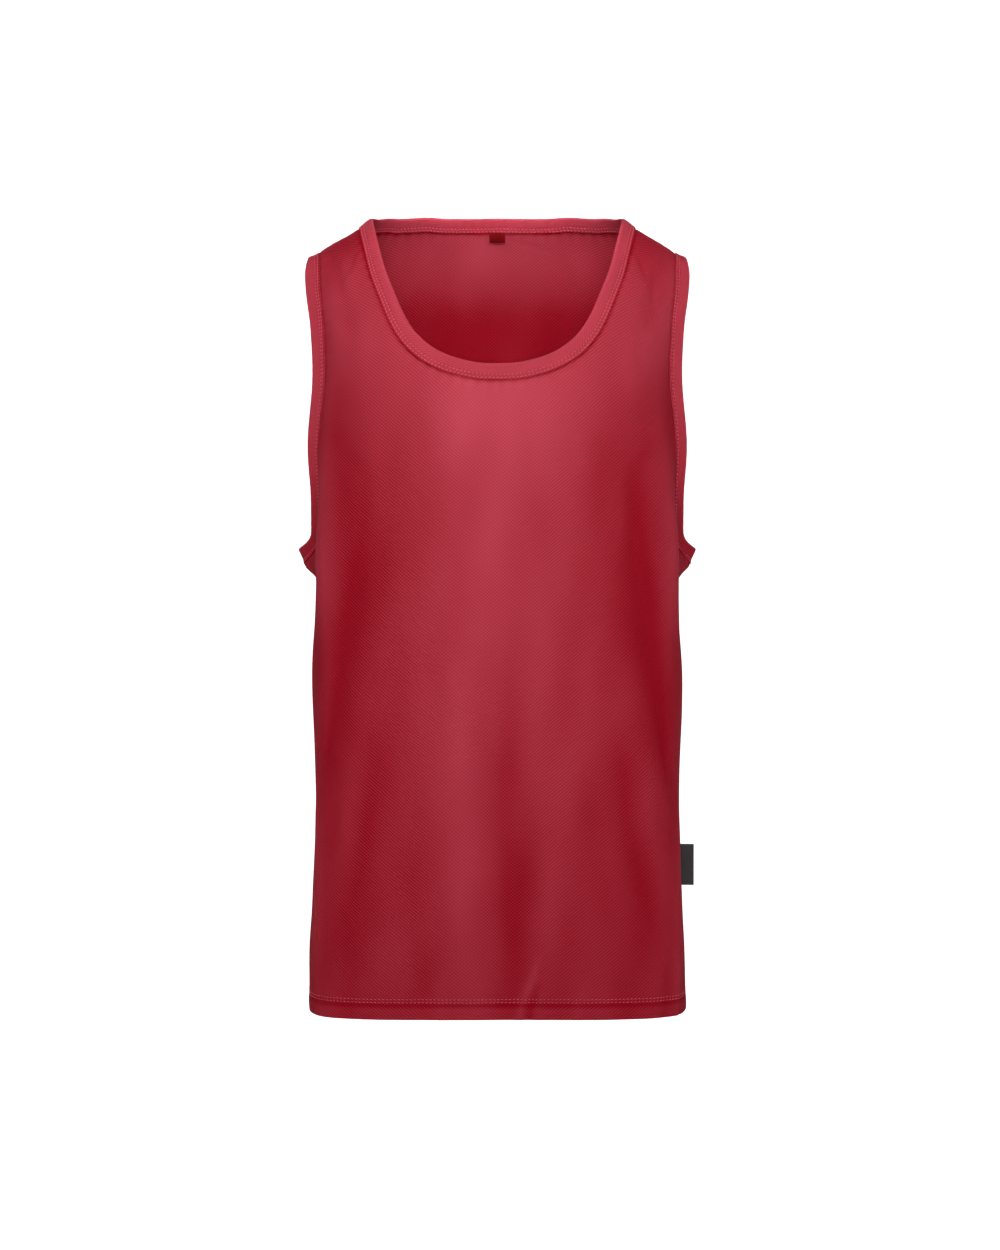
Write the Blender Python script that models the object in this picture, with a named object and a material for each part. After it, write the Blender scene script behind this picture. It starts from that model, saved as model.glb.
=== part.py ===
"""A sleeveless sports top, open and hollow as it is worn.

Metres, +Z up. The front faces -Y, and +X is the wearer's left. The origin lies midway
between the two points where the shoulder seams meet the neck opening, where the
wearer's shoulders carry the top.

Every piece is a thin wall on one form. A place on the form is given by two lengths:
`across`, measured round the body from the middle of the front or back, and `height`,
which is z up to the chest and then follows the cloth as it leans in to the shoulder seam.
"""

import math
from collections import namedtuple

import bmesh
import bpy
import numpy as np

FRONT = -1
BACK = 1

# The form, in metres
HEM_Z = -0.719
CHEST_Z = -0.200
LEAN_HEIGHT = 0.200  # height up the cloth for each radian that it leans in
SHOULDER_SEAM = CHEST_Z + LEAN_HEIGHT * math.pi / 2

Section = namedtuple("Section", "height half_width front_depth back_depth front_square back_square")
SECTIONS = (
    Section(-0.719, 0.1712, 0.1200, 0.1130, 5.6, 4.6),
    Section(-0.664, 0.1700, 0.1195, 0.1120, 5.3, 4.3),
    Section(-0.627, 0.1680, 0.1190, 0.1105, 5.0, 4.0),
    Section(-0.525, 0.1648, 0.1185, 0.1050, 4.5, 3.6),
    Section(-0.480, 0.1660, 0.1190, 0.1030, 4.3, 3.5),
    Section(-0.424, 0.1680, 0.1200, 0.1030, 4.2, 3.5),
    Section(-0.350, 0.1642, 0.1225, 0.1060, 4.5, 3.8),
    Section(-0.300, 0.1622, 0.1240, 0.1090, 4.8, 4.0),
    Section(-0.260, 0.1608, 0.1248, 0.1110, 4.4, 3.8),
    Section(-0.200, 0.1666, 0.1250, 0.1130, 3.2, 3.1),
    Section(-0.143, 0.1655, 0.1250, 0.1130, 2.8, 2.8),
    Section(-0.080, 0.1682, 0.1250, 0.1130, 2.7, 2.7),
    Section(-0.019, 0.1738, 0.1250, 0.1130, 2.6, 2.6),
    Section(0.115, 0.1783, 0.1250, 0.1130, 2.5, 2.5),
)

# The top of the lean at each distance from the middle: the neck's slope, then the shoulder's
Slope = namedtuple("Slope", "out z")
SHOULDER_LINE = (
    Slope(0.000, 0.0390),
    Slope(0.060, 0.0370),
    Slope(0.085, 0.0270),
    Slope(0.100, 0.0160),
    Slope(0.114, 0.0010),
    Slope(0.126, -0.0095),
    Slope(0.145, -0.0213),
    Slope(0.164, -0.0330),
    Slope(0.182, -0.0440),
)

# The seams of the neck binding, from the middle to the shoulder seam
NeckPoint = namedtuple("NeckPoint", "out height")
NECK_SEAM = {
    FRONT: (
        NeckPoint(0.0000, -0.1620),
        NeckPoint(0.0364, -0.1580),
        NeckPoint(0.0636, -0.1478),
        NeckPoint(0.0870, -0.1242),
        NeckPoint(0.1012, -0.0901),
        NeckPoint(0.1146, -0.0320),
        NeckPoint(0.1240, 0.0600),
        NeckPoint(0.1262, SHOULDER_SEAM),
    ),
    BACK: (
        NeckPoint(0.0000, -0.0096),
        NeckPoint(0.0500, -0.0085),
        NeckPoint(0.0900, 0.0080),
        NeckPoint(0.1100, 0.0405),
        NeckPoint(0.1200, 0.0710),
        NeckPoint(0.1262, SHOULDER_SEAM),
    ),
}

NECK_MIDDLE = np.array([0.0, -0.020, 0.030])  # in the open air inside the neck opening

# The armhole's seam, seen from the side
ARMHOLE_BOTTOM = -0.317
ARMHOLE_WIDEST = -0.230
ARMHOLE_SHARE = 0.512  # of the depth, from the side seam to the armhole at its widest
FLARE = 0.0105  # how far the seam stands out at the bottom of the armhole
FLARE_ABOVE = 0.014
FLARE_BELOW = 0.009
FLARE_ACROSS = 0.040
UNDER_FLARE = ARMHOLE_BOTTOM - 3 * FLARE_BELOW

# The largest folds: a row for each, mirrored where `pair` is true
Fold = namedtuple("Fold", "side top bottom top_across bottom_across bow relief half_width pair")
FOLDS = (
    Fold(FRONT, -0.190, -0.540, 0.140, 0.172, -0.022, -0.0040, 0.017, True),
    Fold(FRONT, -0.205, -0.385, 0.163, 0.166, 0.004, 0.0045, 0.019, True),
    Fold(FRONT, -0.330, -0.800, 0.016, 0.010, 0.000, -0.0026, 0.022, False),
    Fold(FRONT, -0.400, -0.760, -0.036, -0.030, 0.000, 0.0016, 0.018, False),
    Fold(FRONT, -0.440, -0.690, 0.110, 0.152, -0.010, -0.0020, 0.015, True),
    Fold(BACK, -0.230, -0.600, 0.120, 0.150, -0.012, -0.0045, 0.019, True),
    Fold(BACK, -0.250, -0.800, 0.066, 0.082, 0.004, 0.0030, 0.020, True),
    Fold(BACK, -0.300, -0.780, 0.006, -0.004, 0.000, -0.0040, 0.028, False),
)
FOLD_FADE = 0.8  # under 1, a fold is near its full relief for most of its length

# The cloth
WALL = 0.0016
HEM_WALL = 0.0028
HEM_DEPTH = 0.018
HEM_STEP = 0.003
SEAM_GAP = 0.0003
BINDING_WALL = 0.0026
NECK_BINDING_WIDTH = 0.0135
ARMHOLE_BINDING_WIDTH = 0.0148

# The armhole binding turns from the panel's own direction towards the opening: how much of
# the turn points into the opening, the rest pointing straight out from the body
INTO_OPENING_SHOULDER = 0.26
INTO_OPENING_SIDES = 0.42
INTO_OPENING_BOTTOM = 0.81

# Labels
LABEL_WALL = 0.0010
SIZE_LABEL_WIDTH = 0.0150
SIZE_LABEL_DROP = 0.0120
SIZE_LABEL_START = 0.0006
SIDE_LABEL_TOP = -0.576
SIDE_LABEL_HEIGHT = 0.037
SIDE_LABEL_WIDTH = 0.0122

# The yoke is the part of a panel whose divisions follow the neck: where it starts
YOKE_AT_EDGE = {FRONT: -0.205, BACK: -0.150}
YOKE_BELOW_NECK = 0.070

# How finely the walls are divided
COLUMNS = 13  # of each half panel
COLUMN_BUNCHING = 0.40  # closer columns where the body turns to its side
BODY_ROWS = 17
FLARE_ROWS = 4
YOKE_ROWS = 5
ARMHOLE_ROWS = 9
ARMHOLE_TURNS = np.radians([7, 14, 22, 31, 41, 52, 64, 77, 90])  # round its bottom
ARMHOLE_ROW = 0.026
BINDING_STEPS = 3
OUTLINE_ANGLES = np.radians(np.linspace(0.0, 100.0, 401))
NORMAL_STEP = 0.0015
SHARP_EDGE = math.radians(50)


def curve_through(table, place, amount):
    """A smooth curve through two of a table's columns, with no overshoot between its rows."""
    places = np.array([getattr(row, place) for row in table])
    amounts = np.array([getattr(row, amount) for row in table])
    gaps = np.diff(places)
    rises = np.diff(amounts) / gaps
    slopes = np.concatenate([rises[:1], np.zeros(len(rises) - 1), rises[-1:]])
    for i in range(1, len(rises)):
        if rises[i - 1] * rises[i] > 0:
            slopes[i] = 2 * rises[i - 1] * rises[i] / (rises[i - 1] + rises[i])

    def at(value):
        value = min(max(value, places[0]), places[-1])
        i = min(max(int(np.searchsorted(places, value)) - 1, 0), len(gaps) - 1)
        t = (value - places[i]) / gaps[i]
        bend = t * t * (3 - 2 * t)
        ends = gaps[i] * t * (1 - t) * (slopes[i] * (1 - t) - slopes[i + 1] * t)
        return amounts[i] * (1 - bend) + amounts[i + 1] * bend + ends

    return at


HALF_WIDTH = curve_through(SECTIONS, "height", "half_width")
DEPTH = {
    FRONT: curve_through(SECTIONS, "height", "front_depth"),
    BACK: curve_through(SECTIONS, "height", "back_depth"),
}
SQUARENESS = {
    FRONT: curve_through(SECTIONS, "height", "front_square"),
    BACK: curve_through(SECTIONS, "height", "back_square"),
}
SHOULDER_TOP = curve_through(SHOULDER_LINE, "out", "z")


def outline(side, height):
    """A quarter of the section at a height, and a little past the side seam: out, depth, length round."""
    sine = np.sin(OUTLINE_ANGLES)
    cosine = np.cos(OUTLINE_ANGLES)
    square = SQUARENESS[side](height)
    to_side = (sine / HALF_WIDTH(height)) ** square
    to_middle = (np.abs(cosine) / DEPTH[side](height)) ** square
    radius = (to_side + to_middle) ** (-1 / square)
    out = radius * sine
    depth = radius * cosine
    steps = np.hypot(np.diff(out), np.diff(depth))
    return out, depth, np.concatenate([[0.0], np.cumsum(steps)])


def side_across(side, height):
    """Length round from the middle to the side seam."""
    out, depth, along = outline(side, height)
    return float(np.interp(0.0, -depth, along))


def across_at(side, height, out_wanted):
    """Length round from the middle to a distance out, in front of the side seam."""
    out, depth, along = outline(side, height)
    widest = int(np.argmax(out))
    return float(np.interp(out_wanted, out[: widest + 1], along[: widest + 1]))


def fold_relief(side, across, height):
    """How far the folds lift the cloth at a place, or sink it."""
    total = 0.0
    for fold in FOLDS:
        down = (fold.top - height) / (fold.top - fold.bottom)
        if fold.side != side or not 0 < down < 1:
            continue
        middle = fold.top_across + (fold.bottom_across - fold.top_across) * down
        middle += fold.bow * 4 * down * (1 - down)
        fade = math.sin(math.pi * down) ** FOLD_FADE
        for place in (across, -across) if fold.pair else (across,):
            total += fold.relief * fade * math.exp(-(((place - middle) / fold.half_width) ** 2))
    return total


def flare(to_side_seam, height):
    """How far the cloth stands out under the armhole."""
    reach = FLARE_ABOVE if height > ARMHOLE_BOTTOM else FLARE_BELOW
    up = (height - ARMHOLE_BOTTOM) / reach
    return FLARE * math.exp(-(up**2) - (to_side_seam / FLARE_ACROSS) ** 2)


def form_point(side, across, height):
    """The point of the form at a place on the front or the back."""
    out, depth, along = outline(side, height)
    reach = abs(across)
    turn_out = float(np.interp(reach, along, -np.gradient(depth, along)))
    turn_away = float(np.interp(reach, along, np.gradient(out, along)))
    to_side_seam = float(np.interp(0.0, -depth, along)) - reach
    relief = fold_relief(side, across, height)
    x = float(np.interp(reach, along, out)) + relief * turn_out + flare(to_side_seam, height)
    y = float(np.interp(reach, along, depth)) + relief * turn_away
    lean = min(max((height - CHEST_Z) / LEAN_HEIGHT, 0.0), math.pi / 2)
    z = height
    if lean > 0:
        z = CHEST_Z + (SHOULDER_TOP(x) - CHEST_Z) * math.sin(lean)
    return np.array([math.copysign(x, across), side * y * math.cos(lean), z])


def surface(side, across, height):
    """The outer point of the cloth at a place and the direction out of it, clear of the seams' middle."""
    point = form_point(side, across, height)
    top = min(height + NORMAL_STEP, SHOULDER_SEAM)
    low = top - 2 * NORMAL_STEP
    round_body = form_point(side, across + NORMAL_STEP, height) - form_point(side, across - NORMAL_STEP, height)
    if across == 0:
        round_body = np.array([1.0, 0.0, 0.0])
    up_body = form_point(side, across, top) - form_point(side, across, low)
    normal = np.cross(round_body, up_body) * -side
    if height >= SHOULDER_SEAM:
        normal[1] = 0.0
    point[1] = side * max(side * point[1], SEAM_GAP / 2)
    return point, normal / np.linalg.norm(normal)


def armhole_across(side, height):
    """Length round from the middle to the armhole's seam."""
    below = max(ARMHOLE_WIDEST - height, 0.0) / (ARMHOLE_WIDEST - ARMHOLE_BOTTOM)
    reach = ARMHOLE_SHARE * DEPTH[side](height) * math.sqrt(max(1 - below**2, 0.0))
    out, depth, along = outline(side, height)
    return float(np.interp(-reach, -depth, along))


def edge_rows(side):
    """Places up the panel's edge: the side seam, then the armhole's seam up to the yoke."""
    heights = [HEM_Z, HEM_Z + HEM_DEPTH]
    heights += list(np.linspace(HEM_Z + HEM_DEPTH + HEM_STEP, UNDER_FLARE, BODY_ROWS))
    heights += list(np.linspace(UNDER_FLARE, ARMHOLE_BOTTOM, FLARE_ROWS + 1)[1:])
    rows = [(side_across(side, height), height) for height in heights]
    half_bottom = ARMHOLE_WIDEST - ARMHOLE_BOTTOM
    heights = [ARMHOLE_WIDEST - half_bottom * math.cos(turn) for turn in ARMHOLE_TURNS]
    straight = YOKE_AT_EDGE[side] - ARMHOLE_WIDEST
    heights += list(np.linspace(ARMHOLE_WIDEST, YOKE_AT_EDGE[side], round(straight / ARMHOLE_ROW) + 1)[1:])
    rows += [(armhole_across(side, height), height) for height in heights]
    return rows


def armhole_rows(side, start):
    """Places up the armhole's seam from the yoke to the shoulder seam."""
    heights = np.linspace(start, SHOULDER_SEAM, ARMHOLE_ROWS + 1)[1:]
    return [(armhole_across(side, height), height) for height in heights]


def neck_rows(side, count):
    """Places along the neck's seam from the middle to the shoulder seam, evenly spaced."""
    table = NECK_SEAM[side]
    steps = [
        math.hypot(after.out - before.out, after.height - before.height)
        for before, after in zip(table, table[1:])
    ]
    Mark = namedtuple("Mark", "along out height")
    marks = [Mark(float(along), *point) for along, point in zip(np.cumsum([0.0] + steps), table)]
    out_at = curve_through(marks, "along", "out")
    height_at = curve_through(marks, "along", "height")
    places = []
    for along in np.linspace(0.0, sum(steps), count + 1):
        height = height_at(along)
        places.append((across_at(side, height, out_at(along)), height))
    return places


def column_share(column):
    """Share of the way from the middle to the edge, closer together where the body turns."""
    share = column / COLUMNS
    return share + COLUMN_BUNCHING / (2 * math.pi) * math.sin(2 * math.pi * share)


def mirrored(rows):
    """The places of a half, from its middle out, as one run from side to side."""
    return [(-across, height) for across, height in reversed(rows[1:])] + list(rows)


def panel_places(side):
    """The panel's places and the quads between them: a body of rows, and a yoke that follows the neck."""
    edge = edge_rows(side)
    yoke_middle = NECK_SEAM[side][0].height - YOKE_BELOW_NECK
    body_heights = np.linspace(HEM_Z + HEM_DEPTH + HEM_STEP, yoke_middle, len(edge) - 2)
    middle = [HEM_Z, HEM_Z + HEM_DEPTH] + list(body_heights)
    grid = []
    places = []
    for (edge_across, edge_height), middle_height in zip(edge, middle):
        half = []
        for column in range(COLUMNS + 1):
            share = column_share(column)
            bend = share**2
            half.append((edge_across * share, middle_height * (1 - bend) + edge_height * bend))
        row = mirrored(half)
        grid.append(range(len(places), len(places) + len(row)))
        places += row
    quads = []
    for low, high in zip(grid, grid[1:]):
        quads += [(low[i], low[i + 1], high[i + 1], high[i]) for i in range(len(low) - 1)]

    sleeve_side = armhole_rows(side, edge[-1][1])
    outer = mirrored(places[grid[-1][COLUMNS] :][: COLUMNS + 1] + sleeve_side)
    inner = mirrored(neck_rows(side, COLUMNS + ARMHOLE_ROWS))
    first_of_body = ARMHOLE_ROWS
    runs = []
    for i, (start, end) in enumerate(zip(outer, inner)):
        on_body = first_of_body <= i <= first_of_body + 2 * COLUMNS
        run = [grid[-1][i - first_of_body]] if on_body else []
        for step in range(len(run), YOKE_ROWS + 1):
            share = step / YOKE_ROWS
            run.append(len(places))
            places.append(tuple(a + (b - a) * share for a, b in zip(start, end)))
        runs.append(run)
    for left, right in zip(runs, runs[1:]):
        quads += [(left[i], right[i], right[i + 1], left[i + 1]) for i in range(YOKE_ROWS)]
    return places, quads


def wall_object(name, outer, inner, quads, material):
    """A closed wall between an outer and an inner skin that share their faces' layout."""
    count = len(outer)
    faces = list(quads) + [tuple(corner + count for corner in reversed(quad)) for quad in quads]
    edges = {(quad[i], quad[(i + 1) % len(quad)]) for quad in quads for i in range(len(quad))}
    for start, end in sorted(edges):
        if (end, start) not in edges:
            faces.append((end, start, start + count, end + count))
    mesh = bpy.data.meshes.new(name)
    mesh.from_pydata([tuple(point) for point in list(outer) + list(inner)], [], faces)
    shape = bmesh.new()
    shape.from_mesh(mesh)
    bmesh.ops.recalc_face_normals(shape, faces=shape.faces)
    shape.to_mesh(mesh)
    shape.free()
    mesh.shade_smooth()
    mesh.set_sharp_from_angle(angle=SHARP_EDGE)
    mesh.materials.append(material)
    piece = bpy.data.objects.new(name, mesh)
    TOP.objects.link(piece)
    return piece


def grid_quads(rows, columns):
    """The quads of a grid of points listed row by row."""
    corners = [row * columns + column for row in range(rows - 1) for column in range(columns - 1)]
    return [(i, i + 1, i + columns + 1, i + columns) for i in corners]


def panel_wall(height):
    """The cloth's thickness at a height: doubled where the hem is turned up."""
    if height > HEM_Z + HEM_DEPTH + HEM_STEP / 2:
        return WALL
    return HEM_WALL


def make_panel(name, side):
    places, quads = panel_places(side)
    outer = []
    inner = []
    for across, height in places:
        point, normal = surface(side, across, height)
        outer.append(point)
        inner.append(point - normal * panel_wall(height))
    wall_object(name, outer, inner, quads, JERSEY)


def strip_round(name, seam, width, middle, turned):
    """A binding: a closed strip that starts along the panels' edge, on the side of the opening's middle."""
    count = len(seam)
    outer = []
    inner = []
    for i, (point, normal) in enumerate(seam):
        along = seam[(i + 1) % count][0] - seam[i - 1][0]
        along /= np.linalg.norm(along)
        off_panel = np.cross(normal, along)
        off_panel *= math.copysign(1.0, off_panel @ (middle - point))
        wanted = turned(point, off_panel)
        core = point - normal * WALL / 2 + off_panel * SEAM_GAP
        facing = normal
        for step in range(BINDING_STEPS + 1):
            if step:
                share = step / BINDING_STEPS
                direction = off_panel * (1 - share) + wanted * share
                direction -= along * (direction @ along)
                direction /= np.linalg.norm(direction)
                core = core + direction * width / BINDING_STEPS
                facing = np.cross(direction, along)
                facing *= math.copysign(1.0, facing @ normal)
            outer.append(core + facing * BINDING_WALL / 2)
            inner.append(core - facing * BINDING_WALL / 2)
    row = BINDING_STEPS + 1
    quads = []
    for i in range(count):
        here = i * row
        after = (i + 1) % count * row
        quads += [(here + k, after + k, after + k + 1, here + k + 1) for k in range(BINDING_STEPS)]
    wall_object(name, outer, inner, quads, BINDING)


def make_neck_binding():
    front = mirrored(neck_rows(FRONT, COLUMNS + ARMHOLE_ROWS))
    back = mirrored(neck_rows(BACK, COLUMNS))
    seam = [surface(FRONT, *place) for place in front[1:-1]]
    seam += [surface(BACK, *place) for place in reversed(back[1:-1])]
    shoulders = [surface(FRONT, *front[0]), surface(FRONT, *front[-1])]
    for point, normal in shoulders:
        point[1] = 0.0
    seam.insert(0, shoulders[0])
    seam.insert(len(front) - 1, shoulders[1])
    strip_round("neck_binding", seam, NECK_BINDING_WIDTH, NECK_MIDDLE, lambda point, off_panel: off_panel)


def armhole_half(side):
    """Places along one half of the armhole's seam, from its bottom up to the shoulder seam."""
    edge = edge_rows(side)
    low = [place for place in edge if place[1] >= ARMHOLE_BOTTOM]
    return low + armhole_rows(side, edge[-1][1])


def make_armhole_binding(name, hand):
    front = [surface(FRONT, hand * across, height) for across, height in armhole_half(FRONT)]
    back = [surface(BACK, hand * across, height) for across, height in armhole_half(BACK)]
    for point, normal in (front[0], front[-1]):
        point[1] = 0.0
        normal[1] = 0.0
    seam = front + back[-2:0:-1]
    middle_z = (front[0][0][2] + front[-1][0][2]) / 2
    half_height = (front[-1][0][2] - front[0][0][2]) / 2
    half_reach = ARMHOLE_SHARE * DEPTH[FRONT](ARMHOLE_WIDEST)

    def turned(point, off_panel):
        level = (point[2] - middle_z) / half_height
        ends = abs(level) ** 3  # 1 at the shoulder seam and at the side seam, and near 0 between
        end_share = INTO_OPENING_SHOULDER if level > 0 else INTO_OPENING_BOTTOM
        share = INTO_OPENING_SIDES * (1 - ends) + end_share * ends
        into = np.array([0.0, -point[1] / half_reach, -level])
        into /= np.linalg.norm(into)
        return into * share + np.array([hand, 0.0, 0.0]) * math.sqrt(1 - share**2)

    middle = np.array([seam[0][0][0], 0.0, middle_z])
    strip_round(name, seam, ARMHOLE_BINDING_WIDTH, middle, turned)


def make_size_label():
    """A folded label that hangs from the neck's seam, on the inside of the back."""
    top = NECK_SEAM[BACK][0].height - SIZE_LABEL_START
    outer = []
    inner = []
    for height in np.linspace(top - SIZE_LABEL_DROP, top, 3):
        for across in np.linspace(-SIZE_LABEL_WIDTH / 2, SIZE_LABEL_WIDTH / 2, 3):
            point, normal = surface(BACK, across, height)
            outer.append(point - normal * (WALL + SEAM_GAP))
            inner.append(point - normal * (WALL + SEAM_GAP + LABEL_WALL))
    wall_object("size_label", outer, inner, grid_quads(3, 3), SIZE_TAG)


def make_side_label():
    """A flag label held in the side seam on the wearer's left, standing straight out from it."""
    outer = []
    inner = []
    for height in np.linspace(SIDE_LABEL_TOP - SIDE_LABEL_HEIGHT, SIDE_LABEL_TOP, 4):
        point, normal = surface(FRONT, side_across(FRONT, height), height)
        for out in np.linspace(SEAM_GAP, SEAM_GAP + SIDE_LABEL_WIDTH, 3):
            outer.append([point[0] + out, -LABEL_WALL / 2, height])
            inner.append([point[0] + out, LABEL_WALL / 2, height])
    wall_object("side_label", outer, inner, grid_quads(4, 3), SIDE_TAG)


def cloth_material(name, colour, roughness):
    material = bpy.data.materials.new(name)
    material.use_nodes = True
    shader = material.node_tree.nodes["Principled BSDF"]
    shader.inputs["Base Color"].default_value = (*colour, 1.0)
    shader.inputs["Roughness"].default_value = roughness
    shader.inputs["Metallic"].default_value = 0.0
    return material


for old in list(bpy.data.objects):
    bpy.data.objects.remove(old)
TOP = bpy.data.collections.new("Sleeveless_Top")
bpy.context.scene.collection.children.link(TOP)

JERSEY = cloth_material("red_mesh_jersey", (0.37, 0.030, 0.050), 0.70)
BINDING = cloth_material("red_binding", (0.42, 0.045, 0.068), 0.70)
SIZE_TAG = cloth_material("dark_red_label", (0.16, 0.004, 0.007), 0.75)
SIDE_TAG = cloth_material("charcoal_label", (0.045, 0.045, 0.048), 0.75)

make_panel("front", FRONT)
make_panel("back", BACK)
make_neck_binding()
make_armhole_binding("armhole_binding_left", 1)
make_armhole_binding("armhole_binding_right", -1)
make_size_label()
make_side_label()
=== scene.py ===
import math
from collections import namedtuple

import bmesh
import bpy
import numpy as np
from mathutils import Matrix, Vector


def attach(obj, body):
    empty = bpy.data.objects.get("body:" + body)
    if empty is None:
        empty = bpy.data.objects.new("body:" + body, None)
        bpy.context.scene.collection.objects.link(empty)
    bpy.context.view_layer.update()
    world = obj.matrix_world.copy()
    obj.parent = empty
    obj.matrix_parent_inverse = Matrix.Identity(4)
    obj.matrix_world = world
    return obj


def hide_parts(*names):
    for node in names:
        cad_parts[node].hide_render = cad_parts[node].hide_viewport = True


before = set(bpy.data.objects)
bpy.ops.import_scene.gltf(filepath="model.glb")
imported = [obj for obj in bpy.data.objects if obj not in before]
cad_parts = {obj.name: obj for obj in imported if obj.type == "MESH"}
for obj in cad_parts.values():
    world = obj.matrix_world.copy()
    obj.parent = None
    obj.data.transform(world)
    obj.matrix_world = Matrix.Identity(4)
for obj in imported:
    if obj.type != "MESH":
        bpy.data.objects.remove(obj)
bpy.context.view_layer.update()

# A sleeveless sports top, open and hollow as it is worn.
#
# Each panel is a thin shell on the form that its solid has, with the finer creases of the cloth
# on it. The bindings are folded strips that are sewn over the panels' edges, and every row of
# sewing is made stitch by stitch. Lengths are in metres, and a place on the form is given as in
# the source of the part: `across` from the middle of the front or back, and `height` up the cloth.

FRONT = -1
BACK = 1
MM = 0.001

# ---------------------------------------------------------------- the form, as in the source

HEM_Z = -0.719
CHEST_Z = -0.200
LEAN_HEIGHT = 0.200
SHOULDER_SEAM = CHEST_Z + LEAN_HEIGHT * math.pi / 2

Section = namedtuple("Section", "height half_width front_depth back_depth front_square back_square")
SECTIONS = (
    Section(-0.719, 0.1712, 0.1200, 0.1130, 4.9, 4.4),
    Section(-0.664, 0.1700, 0.1195, 0.1120, 5.1, 4.3),
    Section(-0.627, 0.1680, 0.1190, 0.1105, 5.0, 4.0),
    Section(-0.525, 0.1648, 0.1185, 0.1050, 4.5, 3.6),
    Section(-0.480, 0.1660, 0.1190, 0.1030, 4.3, 3.5),
    Section(-0.424, 0.1680, 0.1200, 0.1030, 4.2, 3.5),
    Section(-0.350, 0.1642, 0.1225, 0.1060, 4.5, 3.8),
    Section(-0.300, 0.1622, 0.1240, 0.1090, 4.8, 4.0),
    Section(-0.260, 0.1608, 0.1248, 0.1110, 4.4, 3.8),
    Section(-0.200, 0.1666, 0.1250, 0.1130, 3.2, 3.1),
    Section(-0.143, 0.1655, 0.1250, 0.1130, 2.8, 2.8),
    Section(-0.080, 0.1682, 0.1250, 0.1130, 2.7, 2.7),
    Section(-0.019, 0.1738, 0.1250, 0.1130, 2.6, 2.6),
    Section(0.115, 0.1783, 0.1250, 0.1130, 2.5, 2.5),
)

Slope = namedtuple("Slope", "out z")
SHOULDER_LINE = (
    Slope(0.000, 0.0390),
    Slope(0.060, 0.0370),
    Slope(0.085, 0.0270),
    Slope(0.100, 0.0160),
    Slope(0.114, 0.0010),
    Slope(0.126, -0.0095),
    Slope(0.145, -0.0213),
    Slope(0.164, -0.0330),
    Slope(0.182, -0.0440),
)

NeckPoint = namedtuple("NeckPoint", "out height")
NECK_SEAM = {
    FRONT: (
        NeckPoint(0.0000, -0.1620),
        NeckPoint(0.0140, -0.1617),
        NeckPoint(0.0364, -0.1580),
        NeckPoint(0.0636, -0.1478),
        NeckPoint(0.0870, -0.1242),
        NeckPoint(0.1012, -0.0901),
        NeckPoint(0.1146, -0.0320),
        NeckPoint(0.1240, 0.0600),
        NeckPoint(0.1262, SHOULDER_SEAM),
    ),
    BACK: (
        NeckPoint(0.0000, -0.0096),
        NeckPoint(0.0200, -0.0095),
        NeckPoint(0.0500, -0.0085),
        NeckPoint(0.0900, 0.0080),
        NeckPoint(0.1100, 0.0405),
        NeckPoint(0.1200, 0.0710),
        NeckPoint(0.1262, SHOULDER_SEAM),
    ),
}
NECK_MIDDLE = np.array([0.0, -0.020, 0.030])

ARMHOLE_BOTTOM = -0.317
ARMHOLE_WIDEST = -0.230
ARMHOLE_SHARE = 0.512
FLARE = 0.0145
FLARE_ABOVE = 0.014
FLARE_BELOW = 0.010
FLARE_ACROSS = 0.040
UNDER_FLARE = ARMHOLE_BOTTOM - 3 * FLARE_BELOW

Fold = namedtuple("Fold", "side top bottom top_across bottom_across bow relief half_width pair")
FOLDS = (
    Fold(FRONT, -0.190, -0.540, 0.140, 0.172, -0.022, -0.0040, 0.017, True),
    Fold(FRONT, -0.205, -0.385, 0.163, 0.166, 0.004, 0.0045, 0.019, True),
    Fold(FRONT, -0.330, -0.800, 0.016, 0.010, 0.000, -0.0026, 0.022, False),
    Fold(FRONT, -0.400, -0.760, -0.036, -0.030, 0.000, 0.0016, 0.018, False),
    Fold(FRONT, -0.440, -0.690, 0.110, 0.152, -0.010, -0.0020, 0.015, True),
    Fold(BACK, -0.230, -0.600, 0.120, 0.150, -0.012, -0.0045, 0.019, True),
    Fold(BACK, -0.250, -0.800, 0.066, 0.082, 0.004, 0.0030, 0.020, True),
    Fold(BACK, -0.300, -0.780, 0.006, -0.004, 0.000, -0.0040, 0.028, False),
)
FOLD_FADE = 0.8

CAD_WALL = 1.6 * MM
SEAM_GAP = 0.3 * MM
NECK_BINDING_WIDTH = 13.5 * MM
ARMHOLE_BINDING_WIDTH = 14.8 * MM
INTO_OPENING_SHOULDER = 0.26
INTO_OPENING_SIDES = 0.42
INTO_OPENING_BOTTOM = 0.81

YOKE_AT_EDGE = {FRONT: -0.205, BACK: -0.150}
YOKE_BELOW_NECK = 0.070

# ---------------------------------------------------------------- the cloth

CLOTH = 0.8 * MM
HEM_DEPTH = 18.0 * MM
HEM_CLOTH = 2.0 * MM
HEM_ROUNDING = 0.9 * MM
HEM_DROP = 1.0 * MM
HEM_STITCHES = (17.6 * MM, 14.9 * MM)  # above the hem's edge
STITCH_PITCH = 3.5 * MM
OVERLAP = 1.3 * MM  # of a binding over the panel

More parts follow.
